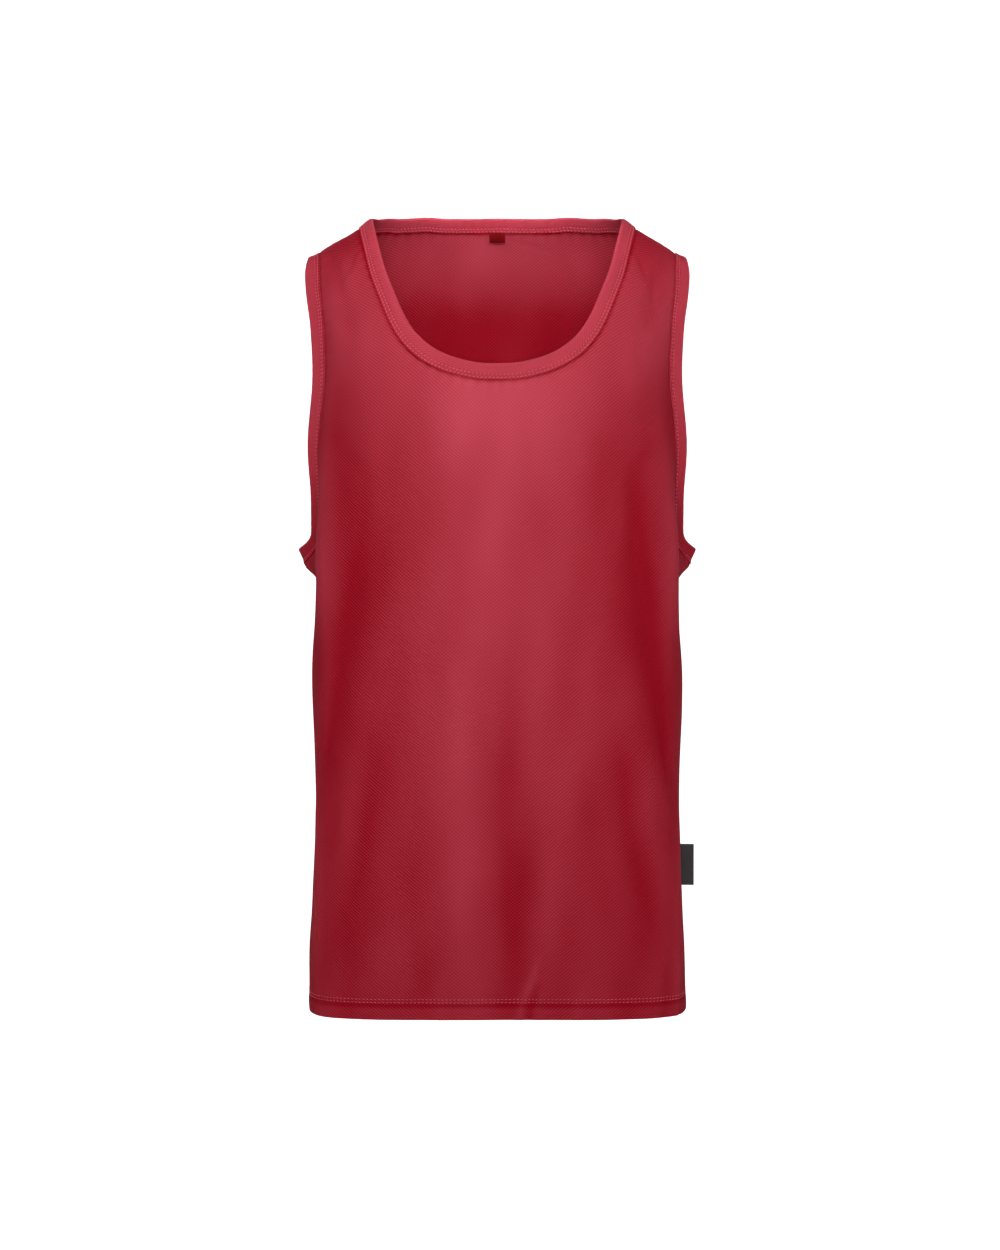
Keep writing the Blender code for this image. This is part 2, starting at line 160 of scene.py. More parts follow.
# Finer creases, as paths over the panel seen from its front: out from the middle, and height
Crease = namedtuple("Crease", "side path relief half_width pair")
CREASES = (
    # the soft V below the neck, and the drag from its corners
    Crease(FRONT, ((0.052, -0.165), (0.034, -0.190), (0.040, -0.240)), 0.9 * MM, 0.013, True),
    Crease(FRONT, ((0.075, -0.160), (0.064, -0.205), (0.072, -0.262)), -0.7 * MM, 0.012, True),
    # the wide shallow troughs beside the chest
    Crease(FRONT, ((-0.092, -0.190), (-0.094, -0.300), (-0.104, -0.430)), -1.9 * MM, 0.0250, False),
    Crease(FRONT, ((0.094, -0.195), (0.096, -0.300), (0.106, -0.440)), -1.8 * MM, 0.0260, False),
    # the narrow line inside each long side fold
    Crease(
        FRONT, ((-0.146, -0.205), (-0.117, -0.240), (-0.121, -0.312), (-0.137, -0.385)),
        -1.0 * MM, 0.0075, False,
    ),
    Crease(FRONT, ((-0.137, -0.372), (-0.146, -0.442), (-0.153, -0.505)), -1.2 * MM, 0.0060, False),
    Crease(
        FRONT, ((0.148, -0.200), (0.119, -0.236), (0.122, -0.300), (0.135, -0.378)),
        -1.0 * MM, 0.0070, False,
    ),
    Crease(FRONT, ((0.136, -0.366), (0.147, -0.450), (0.154, -0.520)), -1.3 * MM, 0.0062, False),
    Crease(FRONT, ((-0.133, -0.235), (-0.134, -0.300), (-0.146, -0.372)), 0.8 * MM, 0.0080, False),
    Crease(FRONT, ((0.135, -0.232), (0.136, -0.296), (0.147, -0.360)), 0.8 * MM, 0.0080, False),
    # the second pair lower down
    Crease(
        FRONT, ((-0.112, -0.455), (-0.114, -0.533), (-0.123, -0.590), (-0.137, -0.640)),
        -1.1 * MM, 0.0080, False,
    ),
    Crease(
        FRONT, ((0.109, -0.455), (0.116, -0.551), (0.130, -0.607), (0.149, -0.668)),
        -1.1 * MM, 0.0085, False,
    ),
    Crease(FRONT, ((-0.128, -0.470), (-0.134, -0.545), (-0.146, -0.600)), 0.8 * MM, 0.0080, False),
    Crease(FRONT, ((0.128, -0.480), (0.138, -0.560), (0.152, -0.625)), 0.8 * MM, 0.0080, False),
    # down the middle
    Crease(
        FRONT, ((0.016, -0.335), (0.012, -0.425), (0.007, -0.514), (0.010, -0.590), (0.011, -0.700)),
        -1.5 * MM, 0.0120, False,
    ),
    Crease(
        FRONT, ((-0.044, -0.300), (-0.036, -0.400), (-0.030, -0.520), (-0.034, -0.640)),
        0.8 * MM, 0.0130, False,
    ),
    Crease(FRONT, ((0.052, -0.580), (0.057, -0.630), (0.062, -0.705)), -0.9 * MM, 0.0090, False),
    Crease(FRONT, ((0.036, -0.430), (0.044, -0.530), (0.041, -0.640)), 0.7 * MM, 0.0140, False),
    Crease(FRONT, ((-0.068, -0.560), (-0.072, -0.630), (-0.066, -0.712)), -0.7 * MM, 0.0110, False),
    # the short crease that ends in the hem
    Crease(
        FRONT, ((0.017, -0.740), (0.0222, -0.708), (0.031, -0.685), (0.038, -0.660)),
        1.8 * MM, 0.0036, False,
    ),
    Crease(FRONT, ((0.0255, -0.740), (0.0300, -0.708), (0.039, -0.684)), -1.4 * MM, 0.0036, False),
    # ridges near the side seams
    Crease(FRONT, ((-0.163, -0.495), (-0.160, -0.600), (-0.162, -0.712)), 2.4 * MM, 0.0105, False),
    Crease(FRONT, ((0.163, -0.500), (0.161, -0.610), (0.162, -0.712)), 2.3 * MM, 0.0102, False),
    # short swells in the hem
    Crease(FRONT, ((0.1590, -0.740), (0.1600, -0.700), (0.1580, -0.655)), 1.4 * MM, 0.0042, False),
    Crease(FRONT, ((0.1490, -0.738), (0.1500, -0.700), (0.1500, -0.668)), -0.9 * MM, 0.0040, False),
    Crease(FRONT, ((-0.048, -0.736), (-0.050, -0.700), (-0.044, -0.672)), 0.9 * MM, 0.0060, False),
    Crease(FRONT, ((0.070, -0.736), (0.074, -0.704), (0.082, -0.680)), 0.8 * MM, 0.0055, False),
    Crease(FRONT, ((-0.118, -0.736), (-0.121, -0.700), (-0.116, -0.676)), 0.8 * MM, 0.0060, False),
    # drag from the shoulder seam and the armhole binding
    Crease(
        FRONT, ((0.152, 0.060), (0.146, -0.010), (0.134, -0.070), (0.122, -0.110)),
        -1.0 * MM, 0.0080, True,
    ),
    Crease(FRONT, ((0.142, 0.075), (0.134, 0.010), (0.126, -0.040)), -0.8 * MM, 0.0070, False),
    Crease(FRONT, ((-0.140, 0.080), (-0.136, 0.020), (-0.129, -0.030)), -0.9 * MM, 0.0065, False),
    Crease(FRONT, ((0.1425, 0.010), (0.1395, -0.030), (0.1380, -0.062)), -1.1 * MM, 0.0042, True),
    Crease(FRONT, ((0.124, 0.004), (0.131, -0.022), (0.1365, -0.043)), -1.0 * MM, 0.0040, False),
    Crease(FRONT, ((-0.127, 0.012), (-0.132, -0.018), (-0.1375, -0.038)), -1.1 * MM, 0.0038, False),
    Crease(FRONT, ((0.151, -0.062), (0.138, -0.080), (0.1245, -0.098)), -0.9 * MM, 0.0045, True),
    Crease(FRONT, ((0.158, -0.040), (0.146, -0.080), (0.128, -0.130)), 0.8 * MM, 0.0090, True),
    Crease(FRONT, ((0.150, -0.130), (0.134, -0.160), (0.112, -0.185)), -0.7 * MM, 0.0100, True),
    # from the size label, inside the back
    Crease(BACK, ((-0.043, -0.0085), (-0.024, -0.0130), (-0.009, -0.0180)), 0.6 * MM, 0.0022, False),
    Crease(BACK, ((0.008, -0.0180), (0.026, -0.0230), (0.056, -0.0320)), 0.6 * MM, 0.0026, False),
    # the back: drag from the armholes, long soft folds, and short ones at the hem
    Crease(
        BACK, ((0.150, -0.215), (0.128, -0.260), (0.116, -0.330), (0.121, -0.420)),
        -1.1 * MM, 0.0080, False,
    ),
    Crease(
        BACK, ((-0.152, -0.205), (-0.131, -0.250), (-0.120, -0.345), (-0.128, -0.440)),
        -1.2 * MM, 0.0085, False,
    ),
    Crease(BACK, ((0.136, -0.230), (0.131, -0.310), (0.138, -0.390)), 0.9 * MM, 0.0090, False),
    Crease(BACK, ((-0.138, -0.240), (-0.134, -0.300), (-0.143, -0.410)), 0.9 * MM, 0.0085, False),
    Crease(
        BACK, ((0.074, -0.240), (0.066, -0.380), (0.078, -0.520), (0.074, -0.690)),
        -0.9 * MM, 0.0130, False,
    ),
    Crease(
        BACK, ((-0.080, -0.290), (-0.070, -0.410), (-0.084, -0.560), (-0.080, -0.700)),
        -1.0 * MM, 0.0120, False,
    ),
    Crease(BACK, ((0.020, -0.090), (0.012, -0.200), (0.004, -0.330)), -0.8 * MM, 0.0160, False),
    Crease(BACK, ((-0.006, -0.380), (-0.014, -0.500), (-0.004, -0.640)), -1.0 * MM, 0.0130, False),
    Crease(BACK, ((0.034, -0.440), (0.038, -0.560), (0.030, -0.706)), 0.9 * MM, 0.0120, False),
    Crease(BACK, ((-0.044, -0.470), (-0.040, -0.600), (-0.050, -0.712)), 0.8 * MM, 0.0130, False),
    Crease(BACK, ((0.110, -0.560), (0.122, -0.630), (0.118, -0.706)), -1.0 * MM, 0.0090, False),
    Crease(BACK, ((-0.112, -0.540), (-0.126, -0.620), (-0.120, -0.690)), -1.0 * MM, 0.0095, False),
    Crease(BACK, ((0.060, -0.020), (0.084, -0.060), (0.112, -0.110)), -0.7 * MM, 0.0110, True),
    Crease(BACK, ((0.148, 0.040), (0.140, -0.030), (0.126, -0.100)), -0.9 * MM, 0.0085, True),
    Crease(BACK, ((-0.050, -0.728), (-0.044, -0.704), (-0.034, -0.678)), 0.7 * MM, 0.0050, False),
)

# Slow unevenness of hanging cloth: length round, length up, slant, start, and relief
Wave = namedtuple("Wave", "round up start relief")
WAVES = (
    Wave(0.083, 0.410, 0.4, 0.28 * MM),
    Wave(-0.061, 0.290, 2.1, 0.22 * MM),
    Wave(0.047, -0.330, 4.0, 0.16 * MM),
    Wave(-0.036, 0.210, 5.2, 0.11 * MM),
    Wave(0.029, 0.170, 1.3, 0.08 * MM),
    Wave(0.120, -0.140, 3.3, 0.20 * MM),
    Wave(-0.094, 0.097, 0.9, 0.12 * MM),
    Wave(0.052, 0.066, 2.8, 0.07 * MM),
)


def curve_through(table, place, amount):
    """A smooth curve through two of a table's columns, with no overshoot between its rows."""
    places = np.array([getattr(row, place) for row in table])
    amounts = np.array([getattr(row, amount) for row in table])
    gaps = np.diff(places)
    rises = np.diff(amounts) / gaps
    slopes = np.concatenate([rises[:1], np.zeros(len(rises) - 1), rises[-1:]])
    for i in range(1, len(rises)):
        if rises[i - 1] * rises[i] > 0:
            slopes[i] = 2 * rises[i - 1] * rises[i] / (rises[i - 1] + rises[i])

    def at(value):
        value = np.clip(value, places[0], places[-1])
        i = np.clip(np.searchsorted(places, value) - 1, 0, len(gaps) - 1)
        t = (value - places[i]) / gaps[i]
        bend = t * t * (3 - 2 * t)
        ends = gaps[i] * t * (1 - t) * (slopes[i] * (1 - t) - slopes[i + 1] * t)
        return amounts[i] * (1 - bend) + amounts[i + 1] * bend + ends

    return at


HALF_WIDTH = curve_through(SECTIONS, "height", "half_width")
DEPTH = {
    FRONT: curve_through(SECTIONS, "height", "front_depth"),
    BACK: curve_through(SECTIONS, "height", "back_depth"),
}
SQUARENESS = {
    FRONT: curve_through(SECTIONS, "height", "front_square"),
    BACK: curve_through(SECTIONS, "height", "back_square"),
}
SHOULDER_TOP = curve_through(SHOULDER_LINE, "out", "z")

OUTLINE_ANGLES = np.radians(np.linspace(0.0, 100.0, 401))
GRID_STEP = 1.5 * MM
GRID_HEIGHTS = np.arange(HEM_Z - 2 * GRID_STEP, SHOULDER_SEAM + 3 * GRID_STEP, GRID_STEP)
GRID_SHARES = np.linspace(0.0, 1.08, 541)
NORMAL_STEP = 1.5 * MM


def outline(side, height):
    """A quarter of the section at a height, and a little past the side seam: out, depth, length round."""
    sine = np.sin(OUTLINE_ANGLES)
    cosine = np.cos(OUTLINE_ANGLES)
    square = SQUARENESS[side](height)
    to_side = (sine / HALF_WIDTH(height)) ** square
    to_middle = (np.abs(cosine) / DEPTH[side](height)) ** square
    radius = (to_side + to_middle) ** (-1 / square)
    out = radius * sine
    depth = radius * cosine
    steps = np.hypot(np.diff(out), np.diff(depth))
    return out, depth, np.concatenate([[0.0], np.cumsum(steps)])


def section_grid(side):
    """Out, depth, and the outward direction's two parts for every height and share of the way round."""
    fields = np.empty((4, len(GRID_HEIGHTS), len(GRID_SHARES)))
    lengths = np.empty(len(GRID_HEIGHTS))
    for i, height in enumerate(GRID_HEIGHTS):
        out, depth, along = outline(side, height)
        lengths[i] = np.interp(0.0, -depth, along)
        at = GRID_SHARES * lengths[i]
        fields[0, i] = np.interp(at, along, out)
        fields[1, i] = np.interp(at, along, depth)
        fields[2, i] = np.interp(at, along, -np.gradient(depth, along))
        fields[3, i] = np.interp(at, along, np.gradient(out, along))
    return fields, lengths


GRIDS = {FRONT: section_grid(FRONT), BACK: section_grid(BACK)}


def side_across(side, height):
    """Length round from the middle to the side seam."""
    return np.interp(height, GRID_HEIGHTS, GRIDS[side][1])


def across_at(side, height, out_wanted):
    """Length round from the middle to a distance out, in front of the side seam."""
    out, depth, along = outline(side, height)
    widest = int(np.argmax(out))
    return float(np.interp(out_wanted, out[: widest + 1], along[: widest + 1]))


def fold_relief(side, across, height):
    """How far the folds of the source lift the cloth at each place, or sink it."""
    total = np.zeros_like(across)
    for fold in FOLDS:
        if fold.side != side:
            continue
        down = np.clip((fold.top - height) / (fold.top - fold.bottom), 0.0, 1.0)
        middle = fold.top_across + (fold.bottom_across - fold.top_across) * down
        middle = middle + fold.bow * 4 * down * (1 - down)
        fade = np.abs(np.sin(math.pi * down)) ** FOLD_FADE
        for place in (across, -across) if fold.pair else (across,):
            total += fold.relief * fade * np.exp(-(((place - middle) / fold.half_width) ** 2))
    return total


def form_point(side, across, height):
    """The points of the form at places on the front or the back."""
    fields, lengths = GRIDS[side]
    reach = np.abs(across)
    row = np.clip((height - GRID_HEIGHTS[0]) / GRID_STEP, 0, len(GRID_HEIGHTS) - 1.001)
    i = row.astype(int)
    f = row - i
    length = lengths[i] * (1 - f) + lengths[i + 1] * f
    column = np.clip(reach / length / (GRID_SHARES[1] - GRID_SHARES[0]), 0, len(GRID_SHARES) - 1.001)
    j = column.astype(int)
    g = column - j
    low = fields[:, i, j] * (1 - g) + fields[:, i, j + 1] * g
    high = fields[:, i + 1, j] * (1 - g) + fields[:, i + 1, j + 1] * g
    out, depth, turn_out, turn_away = low * (1 - f) + high * f
    relief = fold_relief(side, across, height)
    up = (height - ARMHOLE_BOTTOM) / np.where(height > ARMHOLE_BOTTOM, FLARE_ABOVE, FLARE_BELOW)
    flare = FLARE * np.exp(-(up**2) - ((length - reach) / FLARE_ACROSS) ** 2)
    x = out + relief * turn_out + flare
    y = depth + relief * turn_away
    lean = np.clip((height - CHEST_Z) / LEAN_HEIGHT, 0.0, math.pi / 2)
    z = np.where(lean > 0, CHEST_Z + (SHOULDER_TOP(x) - CHEST_Z) * np.sin(lean), height)
    return np.stack([np.where(across < 0, -x, x), side * y * np.cos(lean), z], axis=-1)


def unit(vectors):
    return vectors / np.linalg.norm(vectors, axis=-1, keepdims=True)


def surface(side, across, height):
    """The outer points of the solid's cloth at places, and the directions out of it."""
    across = np.asarray(across, float)
    height = np.asarray(height, float)
    point = form_point(side, across, height)
    top = np.minimum(height + NORMAL_STEP, SHOULDER_SEAM)
    low = top - 2 * NORMAL_STEP
    round_body = form_point(side, across + NORMAL_STEP, height) - form_point(side, across - NORMAL_STEP, height)
    up_body = form_point(side, across, top) - form_point(side, across, low)
    normal = unit(np.cross(round_body, up_body) * -side)
    at_seam = height >= SHOULDER_SEAM - 1e-9
    normal[at_seam, 1] = 0.0
    point[:, 1] = side * np.maximum(side * point[:, 1], SEAM_GAP / 2)
    return point, unit(normal)


# ---------------------------------------------------------------- where the panels' edges run


def armhole_across(side, height):
    """Length round from the middle to the armhole's seam."""
    below = max(ARMHOLE_WIDEST - height, 0.0) / (ARMHOLE_WIDEST - ARMHOLE_BOTTOM)
    reach = ARMHOLE_SHARE * DEPTH[side](height) * math.sqrt(max(1 - below**2, 0.0))
    out, depth, along = outline(side, height)
    return float(np.interp(-reach, -depth, along))


def armhole_places(side, turns, straight_rows, yoke_rows):
    """Places along half of the armhole's seam: round its bottom, up to the yoke, and to the shoulder."""
    half_bottom = ARMHOLE_WIDEST - ARMHOLE_BOTTOM
    heights = [ARMHOLE_WIDEST - half_bottom * math.cos(turn) for turn in np.linspace(0, math.pi / 2, turns + 1)]
    heights += list(np.linspace(ARMHOLE_WIDEST, YOKE_AT_EDGE[side], straight_rows + 1)[1:])
    heights += list(np.linspace(YOKE_AT_EDGE[side], SHOULDER_SEAM, yoke_rows + 1)[1:])
    return [(armhole_across(side, height), height) for height in heights]


def neck_places(side, count):
    """Places along half of the neck's seam, from the middle to the shoulder seam."""
    table = NECK_SEAM[side]
    steps = [math.hypot(b.out - a.out, b.height - a.height) for a, b in zip(table, table[1:])]
    Mark = namedtuple("Mark", "along out height")
    marks = [Mark(float(along), *point) for along, point in zip(np.cumsum([0.0] + steps), table)]
    out_at = curve_through(marks, "along", "out")
    height_at = curve_through(marks, "along", "height")
    places = []
    for along in np.linspace(0.0, sum(steps), count + 1):
        height = float(height_at(along))
        places.append((across_at(side, height, float(out_at(along))), height))
    return places


def mirrored(rows):
    return [(-across, height) for across, height in reversed(rows[1:])] + list(rows)


TURNS = 30
STRAIGHT_ROWS = {FRONT: 8, BACK: 25}
YOKE_SIDE_ROWS = 34
BODY_COLUMNS = 62
EDGE_COLUMNS = (5.2 * MM, 3.8 * MM, 2.6 * MM, 1.6 * MM, 0.8 * MM, 0.0)
BODY_ROWS = 92
FLARE_ROWS = 10
HEM_ROWS = MM * np.array([
    0.0, 0.1, 0.3, 0.6, 1.0, 2.0, 3.6, 5.4, 7.2, 9.0, 10.8, 12.4,
    13.6, 14.4, 15.1, 15.8, 16.6, 17.4, 18.0, 18.6, 19.8, 21.6,
])
YOKE_SHARES = np.concatenate([
    [0, 0.012, 0.027, 0.05, 0.08], np.linspace(0.12, 0.88, 17), [0.92, 0.95, 0.973, 0.988, 1],
])


def panel_places(side):
    """The panel's places and the quads between them: a body of rows, and a yoke that follows the neck."""
    armhole = armhole_places(side, TURNS, STRAIGHT_ROWS[side], YOKE_SIDE_ROWS)
    heights = list(HEM_Z + HEM_ROWS)
    heights += list(np.linspace(HEM_Z + HEM_ROWS[-1], UNDER_FLARE, BODY_ROWS)[1:])
    heights += list(np.linspace(UNDER_FLARE, ARMHOLE_BOTTOM, FLARE_ROWS + 1)[1:-1])
    edge = [(float(side_across(side, height)), height) for height in heights]
    on_body = TURNS + STRAIGHT_ROWS[side] + 1
    edge += armhole[:on_body]
    yoke_middle = NECK_SEAM[side][0].height - YOKE_BELOW_NECK
    middle = list(HEM_Z + HEM_ROWS)
    middle += list(np.linspace(HEM_Z + HEM_ROWS[-1], yoke_middle, len(edge) - len(middle) + 1)[1:])
    places = []
    grid = []
    for (edge_across, edge_height), middle_height in zip(edge, middle):
        inner = np.linspace(0.0, edge_across - 7 * MM, BODY_COLUMNS)
        reach = np.concatenate([inner, edge_across - np.array(EDGE_COLUMNS)])
        bend = (reach / edge_across) ** 2
        half = list(zip(reach, middle_height * (1 - bend) + edge_height * bend))
        row = mirrored(half)
        grid.append(range(len(places), len(places) + len(row)))
        places += row
    quads = []
    for low, high in zip(grid, grid[1:]):
        quads += [(low[i], low[i + 1], high[i + 1], high[i]) for i in range(len(low) - 1)]
    columns = BODY_COLUMNS + len(EDGE_COLUMNS) - 1
    outer = mirrored(places[grid[-1][columns] : grid[-1][-1] + 1] + armhole[on_body:])
    inner = mirrored(neck_places(side, columns + YOKE_SIDE_ROWS))
    runs = []
    for i, (start, end) in enumerate(zip(outer, inner)):
        is_on_body = YOKE_SIDE_ROWS <= i <= YOKE_SIDE_ROWS + 2 * columns
        run = [grid[-1][i - YOKE_SIDE_ROWS]] if is_on_body else []
        for share in YOKE_SHARES[len(run) :]:
            run.append(len(places))
            places.append((start[0] + (end[0] - start[0]) * share, start[1] + (end[1] - start[1]) * share))
        runs.append(run)
    for left, right in zip(runs, runs[1:]):
        quads += [(left[i], right[i], right[i + 1], left[i + 1]) for i in range(len(left) - 1)]
    return np.array(places), quads


# ---------------------------------------------------------------- the creases


def smooth_path(points, count=28):
    """A smooth run of points through a few."""
    points = np.array(points)
    ends = np.concatenate([[2 * points[0] - points[1]], points, [2 * points[-1] - points[-2]]])
    at = np.linspace(0, len(points) - 1, count)
    i = np.minimum(at.astype(int), len(points) - 2)
    t = (at - i)[:, None]
    a, b, c, d = ends[i], ends[i + 1], ends[i + 2], ends[i + 3]
    return 0.5 * (2 * b + (c - a) * t + (2 * a - 5 * b + 4 * c - d) * t**2 + (3 * b - a - 3 * c + d) * t**3)


def crease_path(crease):
    return smooth_path([
        (math.copysign(across_at(crease.side, height, abs(out)), out), height) for out, height in crease.path
    ])


CREASE_PATHS = [(crease, crease_path(crease)) for crease in CREASES]


def crease_relief(side, across, height, sharpness=0.0):
    """The finer creases: each fades out towards its ends and is a little steeper on one side."""
    total = np.zeros_like(across)
    for crease, path in CREASE_PATHS:
        if crease.side != side:
            continue
        for hand in (1, -1) if crease.pair else (1,):
            here = np.stack([across * hand, height], axis=-1)
            margin = 3 * crease.half_width
            near = np.all((here > path.min(axis=0) - margin) & (here < path.max(axis=0) + margin), axis=-1)
            if not near.any():
                continue
            point = here[near]
            start = path[:-1]
            step = np.diff(path, axis=0)
            offset = point[:, None, :] - start[None]
            share = np.clip((offset * step).sum(-1) / (step**2).sum(-1), 0, 1)
            away = offset - share[..., None] * step
            distance = np.hypot(away[..., 0], away[..., 1])
            best = distance.argmin(axis=1)
            rows = np.arange(len(best))
            along = (best + share[rows, best]) / len(start)
            turn = np.sign(step[best, 0] * offset[rows, best, 1] - step[best, 1] * offset[rows, best, 0])
            fade = np.sin(math.pi * along) ** 0.7
            width = crease.half_width * (0.65 + 0.35 * fade) * (1 + 0.22 * turn)
            weight = 1 + sharpness * max(6 * MM / crease.half_width - 1, 0.0)
            total[near] += weight * crease.relief * fade * np.exp(-((distance[rows, best] / width) ** 2))
    return total


def wave_relief(side, across, height):
    total = np.zeros_like(across)
    for wave in WAVES:
        turns = across / wave.round + height / wave.up
        total += wave.relief * np.sin(2 * math.pi * turns + wave.start * (1 + 0.5 * side))
    return total


def resample(points, count=None, spacing=None, closed=False):
    """A line's points, evenly spaced, with any more columns that come with them."""
    points = np.asarray(points, float)
    if closed:
        points = np.concatenate([points, points[:1]])
    steps = np.linalg.norm(np.diff(points[:, :3], axis=0), axis=1)
    along = np.concatenate([[0.0], np.cumsum(steps)])
    if count is None:
        count = max(int(round(along[-1] / spacing)), 2)
    at = np.linspace(0.0, along[-1], count + 1)
    at = at[:-1] if closed else at
    return np.stack([np.interp(at, along, column) for column in points.T], axis=-1), along[-1]


def seam_line(side, places):
    """Points with their normals along a run of places."""
    places = np.array(places)
    point, normal = surface(side, places[:, 0], places[:, 1])
    return np.concatenate([point, normal], axis=1)


def fine(places, times):
    """More places between a run's own."""
    places = np.array(places)
    at = np.arange(len(places))
    more = np.linspace(0, len(places) - 1, (len(places) - 1) * times + 1)
    return np.stack([np.interp(more, at, column) for column in places.T], axis=-1)


NECK_LINES = {side: seam_line(side, fine(mirrored(neck_places(side, 120)), 3)) for side in (FRONT, BACK)}
ARMHOLE_LINES = {
    (side, hand): seam_line(side, fine([(hand * across, height) for across, height in armhole_places(side, 60, 30, 70)], 2))
    for side in (FRONT, BACK)
    for hand in (1, -1)
}
SEAM_HEIGHTS = np.linspace(HEM_Z, ARMHOLE_BOTTOM, 240)
SIDE_LINES = {
    (side, hand): seam_line(side, [(hand * float(side_across(side, height)), height) for height in SEAM_HEIGHTS])
    for side in (FRONT, BACK)
    for hand in (1, -1)
}


def shoulder_places(side, hand):
    neck = neck_places(side, 4)[-1][0]
    arm = armhole_across(side, SHOULDER_SEAM)
    return [(hand * across, SHOULDER_SEAM) for across in np.linspace(neck, arm, 40)]


SHOULDER_LINES = {
    (side, hand): seam_line(side, shoulder_places(side, hand)) for side in (FRONT, BACK) for hand in (1, -1)
}

# How a seam draws the cloth in: the lines it runs along, its depth, its reach, and its puckers with their pitch and
# reach; and the painted shade beside it, how dark and its reach
Drawn = namedtuple("Drawn", "lines depth reach pucker pitch pucker_reach shade shade_reach")
DRAWN = (
    Drawn(NECK_LINES, 1.1 * MM, 2.4 * MM, 0.14 * MM, 11 * MM, 9 * MM, 0.78, 2.5 * MM),
    Drawn(ARMHOLE_LINES, 0.8 * MM, 2.4 * MM, 0.16 * MM, 12 * MM, 10 * MM, 0.39, 2.2 * MM),
    Drawn(SIDE_LINES, 1.0 * MM, 1.7 * MM, 0.22 * MM, 14 * MM, 9 * MM, 0.24, 2.0 * MM),
    Drawn(SHOULDER_LINES, 0.9 * MM, 1.7 * MM, 0.16 * MM, 9 * MM, 8 * MM, 0.30, 3.0 * MM),
)


def seam_effect(side, point):
    """The cloth drawn in along its seams, with puckers that die out away from them; and the painted shade there: a
    dark line beside each seam, with painted light and shade over the puckers.
    """
    total = np.zeros(len(point))
    tone = np.zeros(len(point))
    for drawn in DRAWN:
        for key, line in drawn.lines.items():
            if (key if isinstance(key, int) else key[0]) != side:
                continue
            line = resample(line, spacing=1.6 * MM)[0][:, :3]
            reach = 2.5 * max(drawn.reach, drawn.pucker_reach)
            near = np.flatnonzero(np.all((point > line.min(axis=0) - reach) & (point < line.max(axis=0) + reach), axis=1))
            for part in np.array_split(near, max(len(near) // 4000, 1)):
                gaps = np.linalg.norm(point[part, None] - line[None], axis=2)
                nearest = gaps.argmin(axis=1)
                gap = gaps[np.arange(len(part)), nearest]
                along = nearest * 1.6 * MM
                wander = 0.8 * np.sin(along / 0.023) + 0.6 * np.sin(along / 0.0371 + 1.0)
                pucker = np.sin(2 * math.pi * along / drawn.pitch + wander) * (0.6 + 0.4 * np.sin(along / 0.031))
                total[part] -= drawn.depth * np.exp(-((gap / drawn.reach) ** 2))
                # Painted shade: a dark line beside the seam; and painted light and shade over the puckers
                tone[part] -= drawn.shade * np.exp(-((gap / drawn.shade_reach) ** 2))
                tone[part] += 0.10 * pucker * np.exp(-((gap / drawn.pucker_reach) ** 2))
                total[part] += drawn.pucker * pucker * np.exp(-((gap / drawn.pucker_reach) ** 2)) * (gap / (gap + 1 * MM))
    return total, tone


def hem_relief(across, height):
    """The hem is drawn in along its stitches and is a little full below them."""
    up = height - HEM_Z
    stitched = (HEM_STITCHES[0] + HEM_STITCHES[1]) / 2
    total = -0.55 * MM * np.exp(-(((up - stitched) / (2.3 * MM)) ** 2))
    total += 0.35 * MM * np.exp(-(((up - 7.5 * MM) / (5 * MM)) ** 2))
    roll = np.sin(2 * math.pi * (across / 0.017 + up / 0.030) + 1.5 * np.sin(across / 0.043))
    total += 0.09 * MM * roll * np.exp(-(((up - 8 * MM) / (7 * MM)) ** 2))
    return total


# How the cloth's painted light and shade change slowly over the top: 0 is deep red, and 1 pale. Painted light makes
# it palest over the chest, and painted shade makes it deeper towards the sides and the hem, and deep where it turns
# over the shoulders.
HEM_TONE = 0.3
BODY_TONE = 0.6
CHEST_PAINTED_LIGHT = 0.3  # more than the body's
PALEST_Z = -0.170
PALEST_REACH = 0.060
SIDE_TONE = 0.2
STRAP_TONE = 0.5
SHOULDER_TONE = 0.1
INSIDE_TONE = 0.7  # at the top of the back; it fades away below the neck
NECK_BINDING_TONE = 0.7
ARMHOLE_BINDING_TONE = 0.6
# The armhole binding's tone at the bottom of the armhole, darker by painted shade
UNDER_ARM_SHADED_TONE = 0.2
MIDDLE_WIDTH = 0.090
# How strong the painted shade in the folds and creases is, and how much more in the sharp creases
FOLD_SHADE = 0.24
SHARP_CREASE_SHADE = 1.5


def eased(value, low, high):
    """0 at low and 1 at high, with a smooth change between them."""
    share = np.clip((value - low) / (high - low), 0.0, 1.0)
    return share * share * (3 - 2 * share)


# Painted light and shade outside: pale in the middle over the chest, deeper towards the sides and the hem, deep
# over the shoulders.
def painted_light_outside(point):
    z = point[:, 2]
    middle = HEM_TONE + (BODY_TONE - HEM_TONE) * eased(z, HEM_Z, ARMHOLE_BOTTOM)
    middle = middle + CHEST_PAINTED_LIGHT * np.exp(-(((z - PALEST_Z) / PALEST_REACH) ** 2))
    sides = SIDE_TONE + (STRAP_TONE - SIDE_TONE) * eased(z, -0.200, -0.100)
    tone = sides + (middle - sides) * np.exp(-((point[:, 0] / MIDDLE_WIDTH) ** 2))
    return tone + (SHOULDER_TONE - tone) * eased(z, -0.080, 0.0)


# Painted light inside the back: pale at the top near the neck and in the middle, fading away below the neck.
def painted_light_inside(point):
    over_middle = np.exp(-((point[:, 0] / MIDDLE_WIDTH) ** 2))
    return INSIDE_TONE * eased(point[:, 2], -0.100, -0.020) * (0.5 + 0.5 * over_middle)


# The armhole binding's colour, darkened by painted shade towards the bottom of the armhole.
def armhole_binding_shading(point):
    return UNDER_ARM_SHADED_TONE + (ARMHOLE_BINDING_TONE - UNDER_ARM_SHADED_TONE) * eased(point[:, 2], ARMHOLE_BOTTOM, -0.150)


